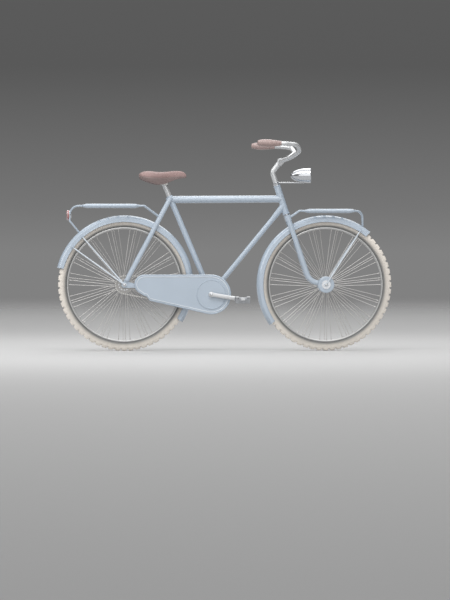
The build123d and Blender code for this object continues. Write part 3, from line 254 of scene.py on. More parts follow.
def make_tyre_rubber(name, axle):
    """Cream rubber with shade painted on it: it turns grey towards the rim, by its distance from the axle."""
    finish = Finish(name)
    offset = finish.node("ShaderNodeVectorMath", operation="SUBTRACT")
    finish.join(finish.place, offset.inputs[0])
    offset.inputs[1].default_value = axle
    flat = finish.node("ShaderNodeVectorMath", operation="MULTIPLY")
    finish.join(offset.outputs["Vector"], flat.inputs[0])
    flat.inputs[1].default_value = (1, 0, 1)
    length = finish.node("ShaderNodeVectorMath", operation="LENGTH")
    finish.join(flat.outputs["Vector"], length.inputs[0])
    reach = finish.node("ShaderNodeMapRange")
    reach.inputs["From Min"].default_value = tyre_radius - tyre_shade_depth
    reach.inputs["From Max"].default_value = tyre_radius
    finish.join(length.outputs["Value"], reach.inputs["Value"])
    # Painted shade: grey at the rim, turning cream towards the tread
    shades = (
        (0.0, tyre_shade_grey),
        (0.16, tyre_shade_grey),
        (0.34, shade(tyre_cream, 0.62)),
        (0.56, shade(tyre_cream, 0.88)),
        (0.82, tyre_cream),
    )
    rim_shade_tone = finish.ramp(reach.outputs["Result"], shades)
    soil = finish.ramp(finish.noise(70.0, 6.0), ((0.3, (0.88, 0.88, 0.88)), (0.75, (1.0, 1.0, 1.0))))
    mix = finish.node("ShaderNodeMix", data_type="RGBA", blend_type="MULTIPLY")
    mix.inputs["Factor"].default_value = 1.0
    finish.join(rim_shade_tone, mix.inputs["A"])
    finish.join(soil, mix.inputs["B"])
    finish.join(mix.outputs["Result"], finish.shader.inputs["Base Color"])
    finish.set(Roughness=0.62)
    finish.bump(finish.noise(1100.0, 2.0), 0.2, 0.0003)
    return finish.material


def make_glass():
    """Clear pressed glass."""
    finish = Finish("lamp_glass")
    finish.set(Base_Color=(0.93, 0.95, 0.96, 1), Roughness=0.06, Transmission_Weight=0.7, IOR=1.5)
    finish.bump(finish.noise(260.0, 2.0), 0.2, 0.0006)
    return finish.material


def make_reflector():
    """Red moulded plastic with small prisms under its face."""
    finish = Finish("red_reflector_plastic")
    cells = finish.node("ShaderNodeTexVoronoi", scale=420.0)
    finish.join(finish.place, cells.inputs["Vector"])
    finish.colour(cells.outputs["Distance"], reflector_tint, 0.75, 1.0, start=0.1, end=0.6)
    finish.set(Roughness=0.18, Coat_Weight=0.7)
    finish.bump(cells.outputs["Distance"], 0.25, 0.0006)
    return finish.material


paint = make_paint("pale_blue_enamel", paint_tint)
# A lighter enamel whose brightness is a painted highlight
bead_highlight_paint = make_paint("painted_highlight_enamel", bead_highlight_tint)
stay_paint = make_paint("pale_stay_enamel", stay_paint_tint)
chrome = make_metal("chrome_plate", chrome_tint, 0.14, 0.22, 0.02)
satin = make_metal("satin_alloy", satin_tint, 0.34, 0.40, 0.02, 0.6)
rim_metal = make_metal("satin_rim_metal", rim_tint, 0.40, 0.48, 0.02, 0.7)
steel = make_metal("brushed_steel", steel_tint, 0.34, 0.46, 0.05)
dark_steel = make_metal("dark_steel", dark_steel_tint, 0.42, 0.54, 0.05)
bright_steel = make_metal("bright_steel", bright_steel_tint, 0.36, 0.44, 0.02, 0.5)
spoke_steel = make_metal("spoke_steel", spoke_tint, 0.34, 0.42, 0.02, 0.7)
saddle_leather = make_leather("dusty_pink_leather", leather_tint, 0.62, 0.70, 0.15)
skirt_leather = make_leather("dusty_skirt_leather", skirt_tint, 0.62, 0.70, 0.15)
grip_leather = make_leather("grip_leather", grip_tint, 0.22, 0.26, 0.03)
pedal_rubber = make_rubber("pedal_rubber", rubber_tint)
lamp_glass = make_glass()
red_plastic = make_reflector()
tyre_rubbers = {
    "front": make_tyre_rubber("front_tyre_rubber", front_axle),
    "rear": make_tyre_rubber("rear_tyre_rubber", rear_axle),
}

# The record's material slots and the finishes that they take
finish_of_slot = {
    "frame_paint": paint,
    "chrome": chrome,
    "steel": steel,
    "saddle_leather": saddle_leather,
    "grip_rubber": grip_leather,
    "pedal_rubber": pedal_rubber,
    "lens_glass": lamp_glass,
    "red_reflector": red_plastic,
}
for subpart in frame["record"]["subparts"]:
    node = nodes[subpart["node"]]
    slot = subpart["material_slot"]
    if slot == "cream_tyre":
        finish = tyre_rubbers[subpart["node"].split("_")[0]]
    else:
        finish = finish_of_slot[slot]
    node.data.materials.clear()
    node.data.materials.append(finish)

special_finishes = {
    "front_spokes": spoke_steel, "rear_spokes": spoke_steel, "handlebar": satin, "stem": satin,
    "seat_post": satin, "headlamp_bracket": satin,
    "front_mudguard_stays": stay_paint, "rear_mudguard_stays": stay_paint,
}
for name, finish in special_finishes.items():
    nodes[name].data.materials[0] = finish


# Modelled pieces
millimetre = 0.001
smooth_angle = radians(35)
weld_distance = 0.000001
sideways = Vector((0, 1, 0))
upward = Vector((0, 0, 1))
ahead = Vector((1, 0, 0))


def lofted(rings, closed_along=False, caps=False):
    """Vertices and faces of a surface that runs through closed rings of points."""
    count = len(rings[0])
    verts = [point for ring in rings for point in ring]
    faces = []
    spans = len(rings) if closed_along else len(rings) - 1
    for span in range(spans):
        here = span * count
        there = (span + 1) % len(rings) * count
        for step in range(count):
            after = (step + 1) % count
            faces.append((here + step, here + after, there + after, there + step))
    if caps:
        faces.append(tuple(reversed(range(count))))
        faces.append(tuple(range((len(rings) - 1) * count, len(rings) * count)))
    return verts, faces


def circle(centre, first, second, radius, steps):
    """Points round a centre, in the plane of two directions."""
    points = []
    for step in range(steps):
        angle = 2 * pi * step / steps
        points.append(centre + (first * cos(angle) + second * sin(angle)) * radius)
    return points


def turned(start, axis, outline, steps):
    """A turned form from (along, radius) pairs in millimetres; a zero radius closes an end."""
    axis = axis.normalized()
    first = axis.orthogonal().normalized()
    second = axis.cross(first)
    rings = []
    for along, radius in outline:
        rings.append(circle(start + axis * (along * millimetre), first, second, radius * millimetre, steps))
    return lofted(rings)


def ringed(centre, section, steps):
    """A closed section of (half width, radius) pairs carried round an axle."""
    rings = []
    for step in range(steps):
        angle = radians(360 * step / steps)
        outward = Vector((cos(angle), 0, sin(angle)))
        rings.append([centre + outward * radius + sideways * half for half, radius in section])
    return lofted(rings, closed_along=True)


def piped(points, radius, sides, closed=False):
    """A round tube along points, with square ends."""
    count = len(points)
    rings = []
    across = None
    for place, point in enumerate(points):
        before = points[place - 1] if closed or place > 0 else point
        after = points[(place + 1) % count] if closed or place < count - 1 else point
        along = (after - before).normalized()
        across = along.orthogonal() if across is None else across - along * across.dot(along)
        across.normalize()
        rings.append(circle(point, across, along.cross(across), radius, sides))
    return lofted(rings, closed_along=closed, caps=not closed)


def beside(point, half):
    """A point of the side view, at a half width."""
    return Vector((point.x, half, point.z))


def prism(outline, half_start, half_end):
    """A plate between two half widths, from side view points."""
    return lofted([[beside(point, half) for point in outline] for half in (half_start, half_end)], caps=True)


def make_piece(name, forms, finish, body, replaced=(), sharp=smooth_angle):
    """One piece from several forms, welded, shaded, riding on a body."""
    mesh = bpy.data.meshes.new(name)
    work = bmesh.new()
    for verts, faces in forms:
        made = [work.verts.new(vert) for vert in verts]
        for face in faces:
            work.faces.new([made[index] for index in face])
    bmesh.ops.remove_doubles(work, verts=work.verts, dist=weld_distance)
    bmesh.ops.dissolve_degenerate(work, edges=work.edges, dist=weld_distance)
    bmesh.ops.recalc_face_normals(work, faces=work.faces)
    work.to_mesh(mesh)
    work.free()
    for polygon in mesh.polygons:
        polygon.use_smooth = True
    mesh.set_sharp_from_angle(angle=sharp)
    mesh.materials.append(finish)
    piece = bpy.data.objects.new(name, mesh)
    bpy.context.scene.collection.objects.link(piece)
    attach(piece, body)
    if replaced:
        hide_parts(*replaced)
    return piece


def round_about(centre, distance, angle, half=0.0):
    """A point at a distance and angle round a centre, seen from the right, angle up from +X."""
    turn = radians(angle)
    return centre + Vector((distance * cos(turn), half, distance * sin(turn)))


# Bolt heads as (along, radius) pairs, in shares of the bolt's height and radius
washer_outline = ((0, 0), (0, 1.25), (0.2, 1.25), (0.2, 0))
hex_head_outline = ((0, 0), (0, 1), (0.7, 1), (0.8, 0.86), (0.8, 0))
hex_head_lift = 0.2
dome_steps = 6
bolt_steps = 20


def hex_bolt(place, axis, radius, height):
    """A washer and a head with six flats, with their sizes in millimetres."""
    axis = axis.normalized()
    washer = [(along * height, reach * radius) for along, reach in washer_outline]
    head = [(along * height, reach * radius) for along, reach in hex_head_outline]
    lifted = place + axis * (height * hex_head_lift * millimetre)
    return [turned(place, axis, washer, bolt_steps), turned(lifted, axis, head, 6)]


def dome_bolt(place, axis, radius, height):
    """A round-headed bolt or cap nut, with its sizes in millimetres."""
    outline = [(0, 0), (0, radius)]
    for step in range(1, dome_steps + 1):
        angle = radians(90 * step / dome_steps)
        outline.append((height * sin(angle), radius * cos(angle)))
    return [turned(place, axis, outline, bolt_steps)]


# Tyres: blocks with side lugs and two grooves
tread_blocks = 60
block_pitch = 360 / tread_blocks
# Half of the section: half width, then radius between the blocks and on them, in millimetres
tyre_half_section = (
    (14.0, 313.5, 313.5), (18.5, 317.0, 317.0), (22.3, 324.0, 324.0), (24.0, 333.0, 333.0),
    (23.6, 341.0, 341.0), (21.6, 347.4, 348.4), (19.4, 349.8, 354.0), (17.6, 351.0, 357.4),
    (15.4, 352.0, 359.4), (11.0, 353.0, 360.6), (9.4, 353.2, 360.7), (8.8, 353.0, 357.2),
    (6.8, 353.2, 357.4), (6.2, 353.6, 360.9), (0.0, 353.8, 361.0),
)
# Each block's rings as a share of its pitch and how far its face stands up
block_rings = (
    (-0.5, 0.0), (-0.38, 0.0), (-0.34, 0.88), (-0.27, 1.0), (0.0, 1.0), (0.27, 1.0), (0.34, 0.88),
    (0.38, 0.0),
)


def make_tyre(name, axle, finish):
    """A tyre whose section rises into blocks round its tread."""
    section = list(tyre_half_section)
    section += [(-half, low, high) for half, low, high in reversed(tyre_half_section[:-1])]
    rings = []
    for block in range(tread_blocks):
        for share, rise in block_rings:
            angle = -90 + (block + share) * block_pitch
            ring = []
            for half, low, high in section:
                radius = low + (high - low) * rise
                ring.append(round_about(axle, radius * millimetre, angle, half * millimetre))
            rings.append(ring)
    form = lofted(rings, closed_along=True)
    make_piece(f"{name}_tyre_treaded", [form], finish, f"{name}_wheel", (f"{name}_tyre",))


# Rims with rolled edges, and the spokes' nipples and heads
# Half of the rim's section: half width and radius in millimetres
rim_half_section = (
    (0.0, 303.6), (8.0, 304.0), (14.0, 304.6), (17.6, 305.8), (19.0, 308.4), (19.0, 311.6), (17.8, 313.4),
    (16.0, 313.4), (14.6, 311.4), (13.0, 309.4), (8.0, 307.8), (0.0, 307.2),
)
rim_steps = 180
rim_inner_radius = 0.304
spoke_groups = 15
# The spokes of a group: the angles of the rim's end and the hub's end, and the side of the flange
spoke_table = ((-6.0, -22.3, 1), (-1.1, -11.7, 1), (1.1, 11.7, -1), (6.0, 22.3, -1))
# Each hub's flanges: half width and radius at the spokes
hub_flanges = {"front": (0.028, 0.028), "rear": (0.0345, 0.034)}
spoke_rim_offset = 0.004
nipple_outline = ((0, 0), (0, 3.2), (2.0, 3.4), (3.0, 2.4), (12.0, 2.2), (13.0, 1.6), (13.0, 0))
spoke_head_outline = ((0, 0), (0, 2.2), (4.8, 2.2), (5.8, 1.2), (5.8, 0))
spoke_head_sink = 0.0026


def make_rim(name, axle):
    """A rim with rolled edges, and a nipple and a head for each spoke."""
    body = f"{name}_wheel"
    section = [(half * millimetre, radius * millimetre) for half, radius in rim_half_section]
    section += [(-half, radius) for half, radius in reversed(section[1:-1])]
    rim = ringed(axle, section, rim_steps)
    make_piece(f"{name}_rim_rolled", [rim], rim_metal, body, (f"{name}_rim",))
    flange_place, flange_radius = hub_flanges[name]
    nipples = []
    heads = []
    for group in range(spoke_groups):
        middle = -90 + group * 360 / spoke_groups
        for rim_angle, hub_angle, side in spoke_table:
            hub_end = round_about(axle, flange_radius, middle + hub_angle, side * flange_place)
            rim_end = round_about(axle, rim_inner_radius, middle + rim_angle, side * spoke_rim_offset)
            outward = sideways * side
            nipples.append(turned(rim_end, hub_end - rim_end, nipple_outline, 10))
            heads.append(turned(hub_end - outward * spoke_head_sink, outward, spoke_head_outline, 8))
    make_piece(f"{name}_nipples", nipples, spoke_steel, body)
    make_piece(f"{name}_spoke_heads", heads, steel, body)


for wheel, axle in (("front", front_axle), ("rear", rear_axle)):
    make_tyre(wheel, axle, tyre_rubbers[wheel])
    make_rim(wheel, axle)


# Saddle: a padded top over a deep skirt, as stations from tail to nose
# Each station: x, half width, top, welt and skirt bottom, in millimetres from the seat point
saddle_stations = (
    (-99.0, 46, -12.0, -19.0, -28.0),
    (-92.0, 76, -5.0, -22.0, -38.0),
    (-76.0, 95, 2.8, -25.0, -45.0),
    (-50.0, 101, 6.8, -29.0, -56.0),
    (-22.0, 96, 3.6, -31.0, -65.0),
    (6.0, 82, 0.4, -32.0, -70.0),
    (32.0, 64, 0.2, -32.0, -69.0),
    (60.0, 45, 2.2, -30.0, -59.0),
    (88.0, 34, 5.6, -26.0, -46.0),
    (114.0, 28, 6.4, -24.0, -37.5),
    (136.0, 24.5, 4.6, -23.0, -34.0),
    (150.0, 22, -2.0, -23.0, -32.5),
    (158.0, 18, -11.0, -24.0, -31.5),
    (160.0, 15, -15.0, -25.0, -31.0),
)
# Each section's points: share of the half width, and place between top (0), welt (1) and skirt bottom (2)
saddle_section = (
    (0.0, 0.0), (0.34, 0.02), (0.62, 0.10), (0.83, 0.30), (0.955, 0.66), (0.99, 0.93), (0.965, 1.02),
    (0.995, 1.12), (0.96, 1.50), (0.90, 1.92), (0.88, 2.0), (0.84, 2.0), (0.80, 1.92), (0.60, 1.30),
    (0.0, 1.18),
)
# The place in the section from which the points belong to the skirt
saddle_welt_place = 6


def saddle_point(station, share, level, side=1):
    """A point of the saddle's section at a station."""
    x, half, top, welt, bottom = station
    if level <= 1:
        z = top + (welt - top) * level
    else:
        z = welt + (bottom - welt) * (level - 1)
    return Vector((x, side * share * half, z)) * millimetre


def make_saddle():
    """The saddle's padded leather as a subdivided cage, closed underneath."""
    rings = []
    for station in saddle_stations:
        ring = [saddle_point(station, share, level) for share, level in saddle_section]
        ring += [saddle_point(station, share, level, -1) for share, level in reversed(saddle_section[1:-1])]
        rings.append(ring)
    piece = make_piece("saddle_padded", [lofted(rings, caps=True)], saddle_leather, "frame",
                       ("saddle",), sharp=pi)
    piece.data.materials.append(skirt_leather)
    ring_size = len(rings[0])
    for polygon in piece.data.polygons:
        places = [index % ring_size for index in polygon.vertices]
        if min(min(place, ring_size - place) for place in places) >= saddle_welt_place:
            polygon.material_index = 1
    smooth = piece.modifiers.new("subdivision", "SUBSURF")
    smooth.levels = 2
    smooth.render_levels = 2


make_saddle()

# Handlebar grips: a soft spindle with a rounded tail
head_top = Vector((0.654, 0, -0.068))
grip_front = Vector((0.030, 0.286, 0.216))
grip_back = Vector((-0.122, 0.300, 0.220))
grip_length = 131.0
grip_steps = 60
# The grip's stations: share of its length and radius in millimetres
grip_profile = (
    (0.0, 12.2), (0.006, 13.0), (0.05, 13.8), (0.15, 15.4), (0.30, 17.8), (0.50, 19.8), (0.66, 20.0),
    (0.80, 18.6), (0.90, 16.2), (0.955, 13.6), (0.985, 12.4), (0.995, 8.0), (1.0, 4.0),
)
# Between these shares the outline is eased from one station to the next
grip_eased_from = 0.02
grip_eased_to = 0.86


def grip_radius(share):
    """The grip's radius at a share of its length, in millimetres."""
    for before, after in zip(grip_profile, grip_profile[1:]):
        if share <= after[0]:
            part = (share - before[0]) / (after[0] - before[0])
            if grip_eased_from < share < grip_eased_to:
                part = part * part * (3 - 2 * part)
            return before[1] + (after[1] - before[1]) * part


def make_grip(name, side):
    """A grip on one end of the handlebar."""
    start_bend = head_top + beside(grip_front, side * grip_front.y)
    tip = head_top + beside(grip_back, side * grip_back.y)
    direction = (tip - start_bend).normalized()
    shares = [step / grip_steps for step in range(grip_steps + 1)]
    outline = [(0, 0)] + [(share * grip_length, grip_radius(share)) for share in shares] + [(grip_length, 0)]
    form = turned(tip - direction * (grip_length * millimetre), direction, outline, 40)
    make_piece(f"grip_{name}_moulded", [form], grip_leather, "fork", (f"grip_{name}",))


make_grip("right", -1)
make_grip("left", 1)

# Headlamp: a pointed shell, a rolled rim and a fluted lens over a reflector, in millimetres from its tail
lamp_tail = head_top + Vector((0.077, 0, 0.0495))
lamp_length = 111.0
lamp_radius = 41.5
lamp_curve = 2.4
lamp_sample_power = 1.6
lamp_shell_end = lamp_length * 0.965
lamp_shell_floor = lamp_length * 0.80
lamp_rim_roll = 3.6
lamp_rim_middle = lamp_length - 4.2
lamp_rim_sweep = 300
lamp_bowl_edge = lamp_length - 8.0
lamp_bowl_depth = 22.0
lamp_bowl_radius = 36.5
lamp_bowl_hole = 0.4
lens_edge = lamp_length - 6.0
lens_radius = 37.2
lens_bulge = 6.8
lens_thickness = 3.0
flute_depth = 0.5
flute_pitch = 4.7


def shell_outline():
    """The lamp's shell, closed by a floor inside it."""
    outline = []
    for step in range(25):
        share = (step / 24) ** lamp_sample_power
        swell = sqrt(1 - (1 - share) ** lamp_curve)
        outline.append((share * lamp_shell_end, (lamp_radius - 1.0) * swell))
    outline.append((lamp_shell_end, lamp_radius - 3.5))
    outline.append((lamp_shell_floor, lamp_radius - 4.5))
    outline.append((lamp_shell_floor, 0))
    return outline


def rim_outline():
    """The lamp's rolled rim as a closed outline."""
    outline = []
    for step in range(13):
        angle = radians(-90 + lamp_rim_sweep * step / 12)
        along = lamp_rim_middle + lamp_rim_roll * sin(angle)
        outline.append((along, lamp_radius - lamp_rim_roll + lamp_rim_roll * cos(angle)))
    return outline + outline[:1]


def bowl_outline():
    """The reflector behind the lens."""
    outline = []
    for step in range(9):
        share = step / 8
        along = lamp_bowl_edge - lamp_bowl_depth * (1 - share ** 2)
        outline.append((along, lamp_bowl_radius * share + lamp_bowl_hole))
    return outline


def fluted_lens():
    """The lens, bulged and with upright flutes that fade out towards its middle."""
    lens_steps = 96
    rings = []
    for step in range(11):
        share = 1 - step / 10
        ring = []
        for turn in range(lens_steps):
            angle = 2 * pi * turn / lens_steps
            y = lens_radius * share * cos(angle)
            z = lens_radius * share * sin(angle)
            flute = flute_depth * cos(y / flute_pitch * 2 * pi) * min(1.0, share * 3)
            along = lens_edge + lens_bulge * (1 - share ** 2) + flute
            ring.append(lamp_tail + Vector((along, y, z)) * millimetre)
        rings.append(ring)
    back = [point - ahead * (lens_thickness * millimetre) for point in rings[0]]
    return lofted([back] + rings)


def make_headlamp():
    """The headlamp's shell, rim, reflector and lens."""
    shell = turned(lamp_tail, ahead, shell_outline(), 64)
    rim = turned(lamp_tail, ahead, rim_outline(), 64)
    bowl = turned(lamp_tail, ahead, bowl_outline(), 48)
    make_piece("headlamp_shell_turned", [shell], chrome, "fork", ("headlamp_shell",))
    make_piece("headlamp_rim", [rim], chrome, "fork")
    make_piece("headlamp_reflector", [bowl], chrome, "fork")
    make_piece("headlamp_lens_fluted", [fluted_lens()], lamp_glass, "fork", ("headlamp_lens",))


make_headlamp()

# Chain: rollers, inner plates and outer plates by turns
link_pitch = 0.0127
rear_teeth = 24
front_teeth = 44
chain_line = 0.0515
inner_plate_reach = 0.0022
outer_plate_reach = 0.0034
link_plate_thickness = 0.0010
link_end_radius = 0.0043
link_end_sweep = 140
link_end_steps = 6
link_waist = 0.0031
roller_half = 0.0023
roller_outline = ((0, 0), (0, 3.8), (4.6, 3.8), (4.6, 0))
pin_half = 0.0049
pin_outline = ((0, 0), (0.2, 2.2), (9.6, 2.2), (9.8, 0))


def pitch_radius(teeth):
    """The radius at which a chain's pins lie round a sprocket."""
    return link_pitch / (2 * sin(pi / teeth))


def in_chain_plane(centre, reach, angle, half=0.0):
    """A point round a centre in the chain's plane, or beside it by a half thickness."""
    return Vector((centre.x + reach * cos(angle), half - chain_line, centre.z + reach * sin(angle)))


class ChainLine:
    """The chain's pitch line: an arc round each sprocket and the two runs that touch them."""

    def __init__(self):
        self.front = pitch_radius(front_teeth)
        self.rear = pitch_radius(rear_teeth)
        span = crank_centre - rear_axle
        self.run = sqrt(span.x ** 2 + span.z ** 2 - (self.front - self.rear) ** 2)
        tilt = atan2(span.z, span.x)
        lean = atan2(self.front - self.rear, self.run)
        self.upper = tilt + pi / 2 + lean
        self.lower = tilt - pi / 2 - lean
        self.front_arc = self.front * (self.upper - self.lower)
        self.rear_arc = self.rear * (2 * pi - (self.upper - self.lower))
        self.length = 2 * self.run + self.front_arc + self.rear_arc
        self.count = round(self.length / link_pitch)

    def at(self, travelled):
        """A pin's place after a distance along the pitch line."""
        if travelled < self.front_arc:
            return in_chain_plane(crank_centre, self.front, self.lower + travelled / self.front)
        travelled -= self.front_arc
        if travelled < self.run:
            start = in_chain_plane(crank_centre, self.front, self.upper)
            return start.lerp(in_chain_plane(rear_axle, self.rear, self.upper), travelled / self.run)
        travelled -= self.run
        if travelled < self.rear_arc:
            return in_chain_plane(rear_axle, self.rear, self.upper + travelled / self.rear)
        travelled -= self.rear_arc
        start = in_chain_plane(rear_axle, self.rear, self.lower)
        return start.lerp(in_chain_plane(crank_centre, self.front, self.lower), travelled / self.run)


chain_path = ChainLine()


def link_plate(pin, next_pin, half_start, half_end, step_out=0.0):
    """One figure-of-eight side plate between two pins, which can step outwards at its waist."""
    along = (next_pin - pin).normalized()
    over = along.cross(sideways)
    outline = []
    for centre, start, shift, waist_side in ((pin, 110, 0.0, -1), (next_pin, -70, step_out, 1)):
        for step in range(link_end_steps + 1):
            angle = radians(start + link_end_sweep * step / link_end_steps)
            edge = (along * cos(angle) + over * sin(angle)) * link_end_radius
            outline.append(centre + edge + sideways * shift)
        waist = over * (waist_side * link_waist)
        outline.append((pin + next_pin) / 2 + waist + sideways * (step_out / 2))
    rings = []
    for half in (half_start, half_end):
        rings.append([beside(point, half + point.y + chain_line) for point in outline])
    return lofted(rings, caps=True)


def make_chain():
    """The chain's plates and rollers as one fixed loop, with a cranked link where the count is odd."""
    plates = []
    rollers = []
    pins = [chain_path.at(place * chain_path.length / chain_path.count) for place in range(chain_path.count)]
    for place, pin in enumerate(pins):
        next_pin = pins[(place + 1) % len(pins)]
        inner = place % 2 == 0
        cranked = inner and place == len(pins) - 1
        reach = inner_plate_reach if inner else outer_plate_reach
        for side in (-1, 1):
            half = -chain_line + side * reach
            step_out = side * (outer_plate_reach - inner_plate_reach) if cranked else 0.0
            plates.append(link_plate(pin, next_pin, half, half + side * link_plate_thickness, step_out))
        rollers.append(turned(pin - sideways * roller_half, sideways, roller_outline, 10))
        rollers.append(turned(pin - sideways * pin_half, sideways, pin_outline, 8))
    make_piece("chain_links", plates, dark_steel, "frame", ("chain",))
    make_piece("chain_rollers", rollers, bright_steel, "frame")


make_chain()

# Sprockets: a toothed ring each, on five arms at the front and on a pierced web at the back
sprocket_half = 0.0012
sprocket_faces = (-sprocket_half, sprocket_half, sprocket_half, -sprocket_half)
# One tooth: share of its pitch and reach beyond the pitch radius in millimetres
tooth_outline = (
    (0.0, -3.7), (0.14, -3.4), (0.27, -1.2), (0.40, 1.2), (0.46, 2.6), (0.54, 2.6), (0.60, 1.2), (0.73, -1.2),
    (0.86, -3.4),
)
chainring_arms = 5
# One arm: distance from the axle and half width
arm_stations = ((0.020, 0.011), (0.042, 0.0065), (0.067, 0.010))
arm_half = 0.0013
chainring_inside = 0.064
chainring_boss_half = 0.003
chainring_boss_outline = ((0, 8.6), (0, 23), (1, 24), (5, 24), (6, 23), (6, 8.6), (0, 8.6))
rear_ring_depth = 0.0095
web_depth = 0.0090
web_bore = 0.0172
web_holes = 12
web_hole_radius = 0.0042
web_hole_shift = 0.001
web_corners = 24
halvings = 24


def toothed_ring(centre, teeth, phase, inside):
    """A flat ring whose teeth mesh with the chain."""
    outline = []
    for tooth in range(teeth):
        for share, reach in tooth_outline:
            angle = phase + 2 * pi * (tooth + share) / teeth
            outline.append((pitch_radius(teeth) + reach * millimetre, angle))
    bore = [(inside, angle) for reach, angle in outline]
    loops = []
    for half, edge in zip(sprocket_faces, (outline, outline, bore, bore)):
        loops.append([in_chain_plane(centre, reach, angle, half) for reach, angle in edge])
    return lofted(loops, closed_along=True)


def sector_edge(centre, middle_angle, inner, outer, turn, middle):
    """The point where a ray from the middle of a web's sector leaves the sector."""
    direction = Vector((cos(turn), 0, sin(turn)))
    low, high = 0.0, outer
    for halving in range(halvings):
        reach = (low + high) / 2
        point = middle + direction * reach
        away = Vector((point.x - centre.x, 0, point.z - centre.z))
        angle = (atan2(away.z, away.x) - middle_angle + pi) % (2 * pi) - pi
        if inner <= away.length <= outer and abs(angle) <= pi / web_holes:
            low = reach
        else:
            high = reach
    return middle + direction * low


def pierced_web(centre, outer, bore):
    """A sprocket's web with a ring of round holes, as sectors with a hole in each."""
    hole_place = (outer + bore) / 2 + web_hole_shift
    forms = []
    for sector in range(web_holes):
        start = 2 * pi * sector / web_holes
        middle = Vector((centre.x + hole_place * cos(start), 0, centre.z + hole_place * sin(start)))
        hole = circle(middle, ahead, upward, web_hole_radius, web_corners)
        turns = [2 * pi * step / web_corners for step in range(web_corners)]
        rim = [sector_edge(centre, start, bore, outer, turn, middle) for turn in turns]
        loops = []
        for half, edge in zip(sprocket_faces, (rim, rim, hole, hole)):
            loops.append([beside(point, half - chain_line) for point in edge])
        forms.append(lofted(loops, closed_along=True))
    return forms


def make_chainring():
    """The chainring: a toothed ring on five arms round a boss."""
    phase = chain_path.lower
    forms = [toothed_ring(crank_centre, front_teeth, phase, chainring_inside)]
    base = beside(crank_centre, 0)
    for arm in range(chainring_arms):
        turn = phase + 2 * pi * arm / chainring_arms
        direction = Vector((cos(turn), 0, sin(turn)))
        across = direction.cross(sideways)
        corners = [base + direction * reach + across * half for reach, half in arm_stations]
        corners += [base + direction * reach - across * half for reach, half in reversed(arm_stations)]
        forms.append(prism(corners, -chain_line - arm_half, -chain_line + arm_half))
    boss_start = beside(crank_centre, -chain_line - chainring_boss_half)
    forms.append(turned(boss_start, sideways, chainring_boss_outline, 48))
    make_piece("chainring_toothed", forms, dark_steel, "crank", ("chainring",))


def make_rear_sprocket():
    """The rear sprocket: a toothed ring round a pierced web, with its teeth between the chain's pins."""
    radius = chain_path.rear
    pin_place = -((chain_path.front_arc + chain_path.run) % (chain_path.length / chain_path.count))
    phase = chain_path.upper + pin_place / radius
    forms = [toothed_ring(rear_axle, rear_teeth, phase, radius - rear_ring_depth)]
    forms += pierced_web(rear_axle, radius - web_depth, web_bore)
    make_piece("rear_sprocket_toothed", forms, dark_steel, "rear_wheel", ("rear_sprocket",))


make_chainring()
make_rear_sprocket()

# Chaincase: a rolled rim and a bead round its outer face, the bead in a lighter tint as a painted highlight,
# and a bead round its cover
case_front_radius = 0.107
case_nose_radius = 0.052
case_nose_back = 0.366
case_bottom_slope = 12.9
case_outside = 0.073
case_step = ((-0.364, -0.007), (-0.350, -0.0095))
case_step_back = 0.334
case_nose_sweep = 145
case_front_steps = 32
case_nose_steps = 16
# The rim and the edge's bead: radius, distance in from the outline and distance in from the outer face
case_rim_roll = (0.0052, 0.0036, 0.0038)
case_edge_bead = (0.0022, 0.0120, 0.0002)
cover_bead_place = 0.078
cover_bead_radius = 0.0024
cover_bead_lift = 0.0012
dust_ring_sink = 0.001
dust_ring_outline = ((0, 15.6), (0, 26.2), (2.2, 26.2), (3.2, 25.0), (3.2, 15.6), (0, 15.6))


def case_outline(inset):
    """The chaincase's side outline, moved inwards by an inset."""
    points = []
    for step in range(case_front_steps + 1):
        angle = -90 - case_bottom_slope + (180 + case_bottom_slope) * step / case_front_steps
        points.append(round_about(crank_centre, case_front_radius - inset, angle))
    nose = crank_centre + Vector((-case_nose_back, 0, case_front_radius - case_nose_radius))
    for step in range(case_nose_steps + 1):
        angle = 90 + case_nose_sweep * step / case_nose_steps
        points.append(round_about(nose, case_nose_radius - inset, angle))
    front_start = round_about(crank_centre, case_front_radius, -90 - case_bottom_slope)
    foot_x = crank_centre.x - case_step_back
    foot_z = front_start.z + (front_start.x - foot_x) * tan(radians(case_bottom_slope))
    for back, rise in case_step:
        points.append(Vector((crank_centre.x + back, 0, crank_centre.z + rise + inset)))
    points.append(Vector((foot_x, 0, foot_z + inset)))
    return points


def case_bead(bead, sides):
    """A tube that follows the chaincase's outline."""
    radius, inset, sink = bead
    line = [point - sideways * (case_outside - sink) for point in case_outline(inset)]
    return piped(line, radius, sides, closed=True)


def make_chaincase_trim():
    """The chaincase's rolled rim, the bead inside it in a lighter tint that is a painted highlight, and the
    bead and dust ring of its cover.
    """
    ring = []
    ring_half = -case_outside - cover_bead_lift
    for step in range(64):
        ring.append(round_about(crank_centre, cover_bead_place, 360 * step / 64, ring_half))
    cover_bead = piped(ring, cover_bead_radius, 10, closed=True)
    dust_ring_start = crank_centre - sideways * (case_outside - dust_ring_sink)
    dust_ring = turned(dust_ring_start, -sideways, dust_ring_outline, 48)
    make_piece("chaincase_rim", [case_bead(case_rim_roll, 12)], paint, "frame")
    # The edge bead is painted lighter: a painted highlight along the case's edge
    make_piece("chaincase_edge_bead", [case_bead(case_edge_bead, 8)], bead_highlight_paint, "frame")
    make_piece("chaincase_cover_bead", [cover_bead, dust_ring], paint, "frame")


make_chaincase_trim()

# Mudguards: rolled edges, and the clips and bolts of their stays
guard_skirt_radius = 0.343
guard_top_radius = 0.379
guard_crown_drop = 0.017
guard_half = 0.031
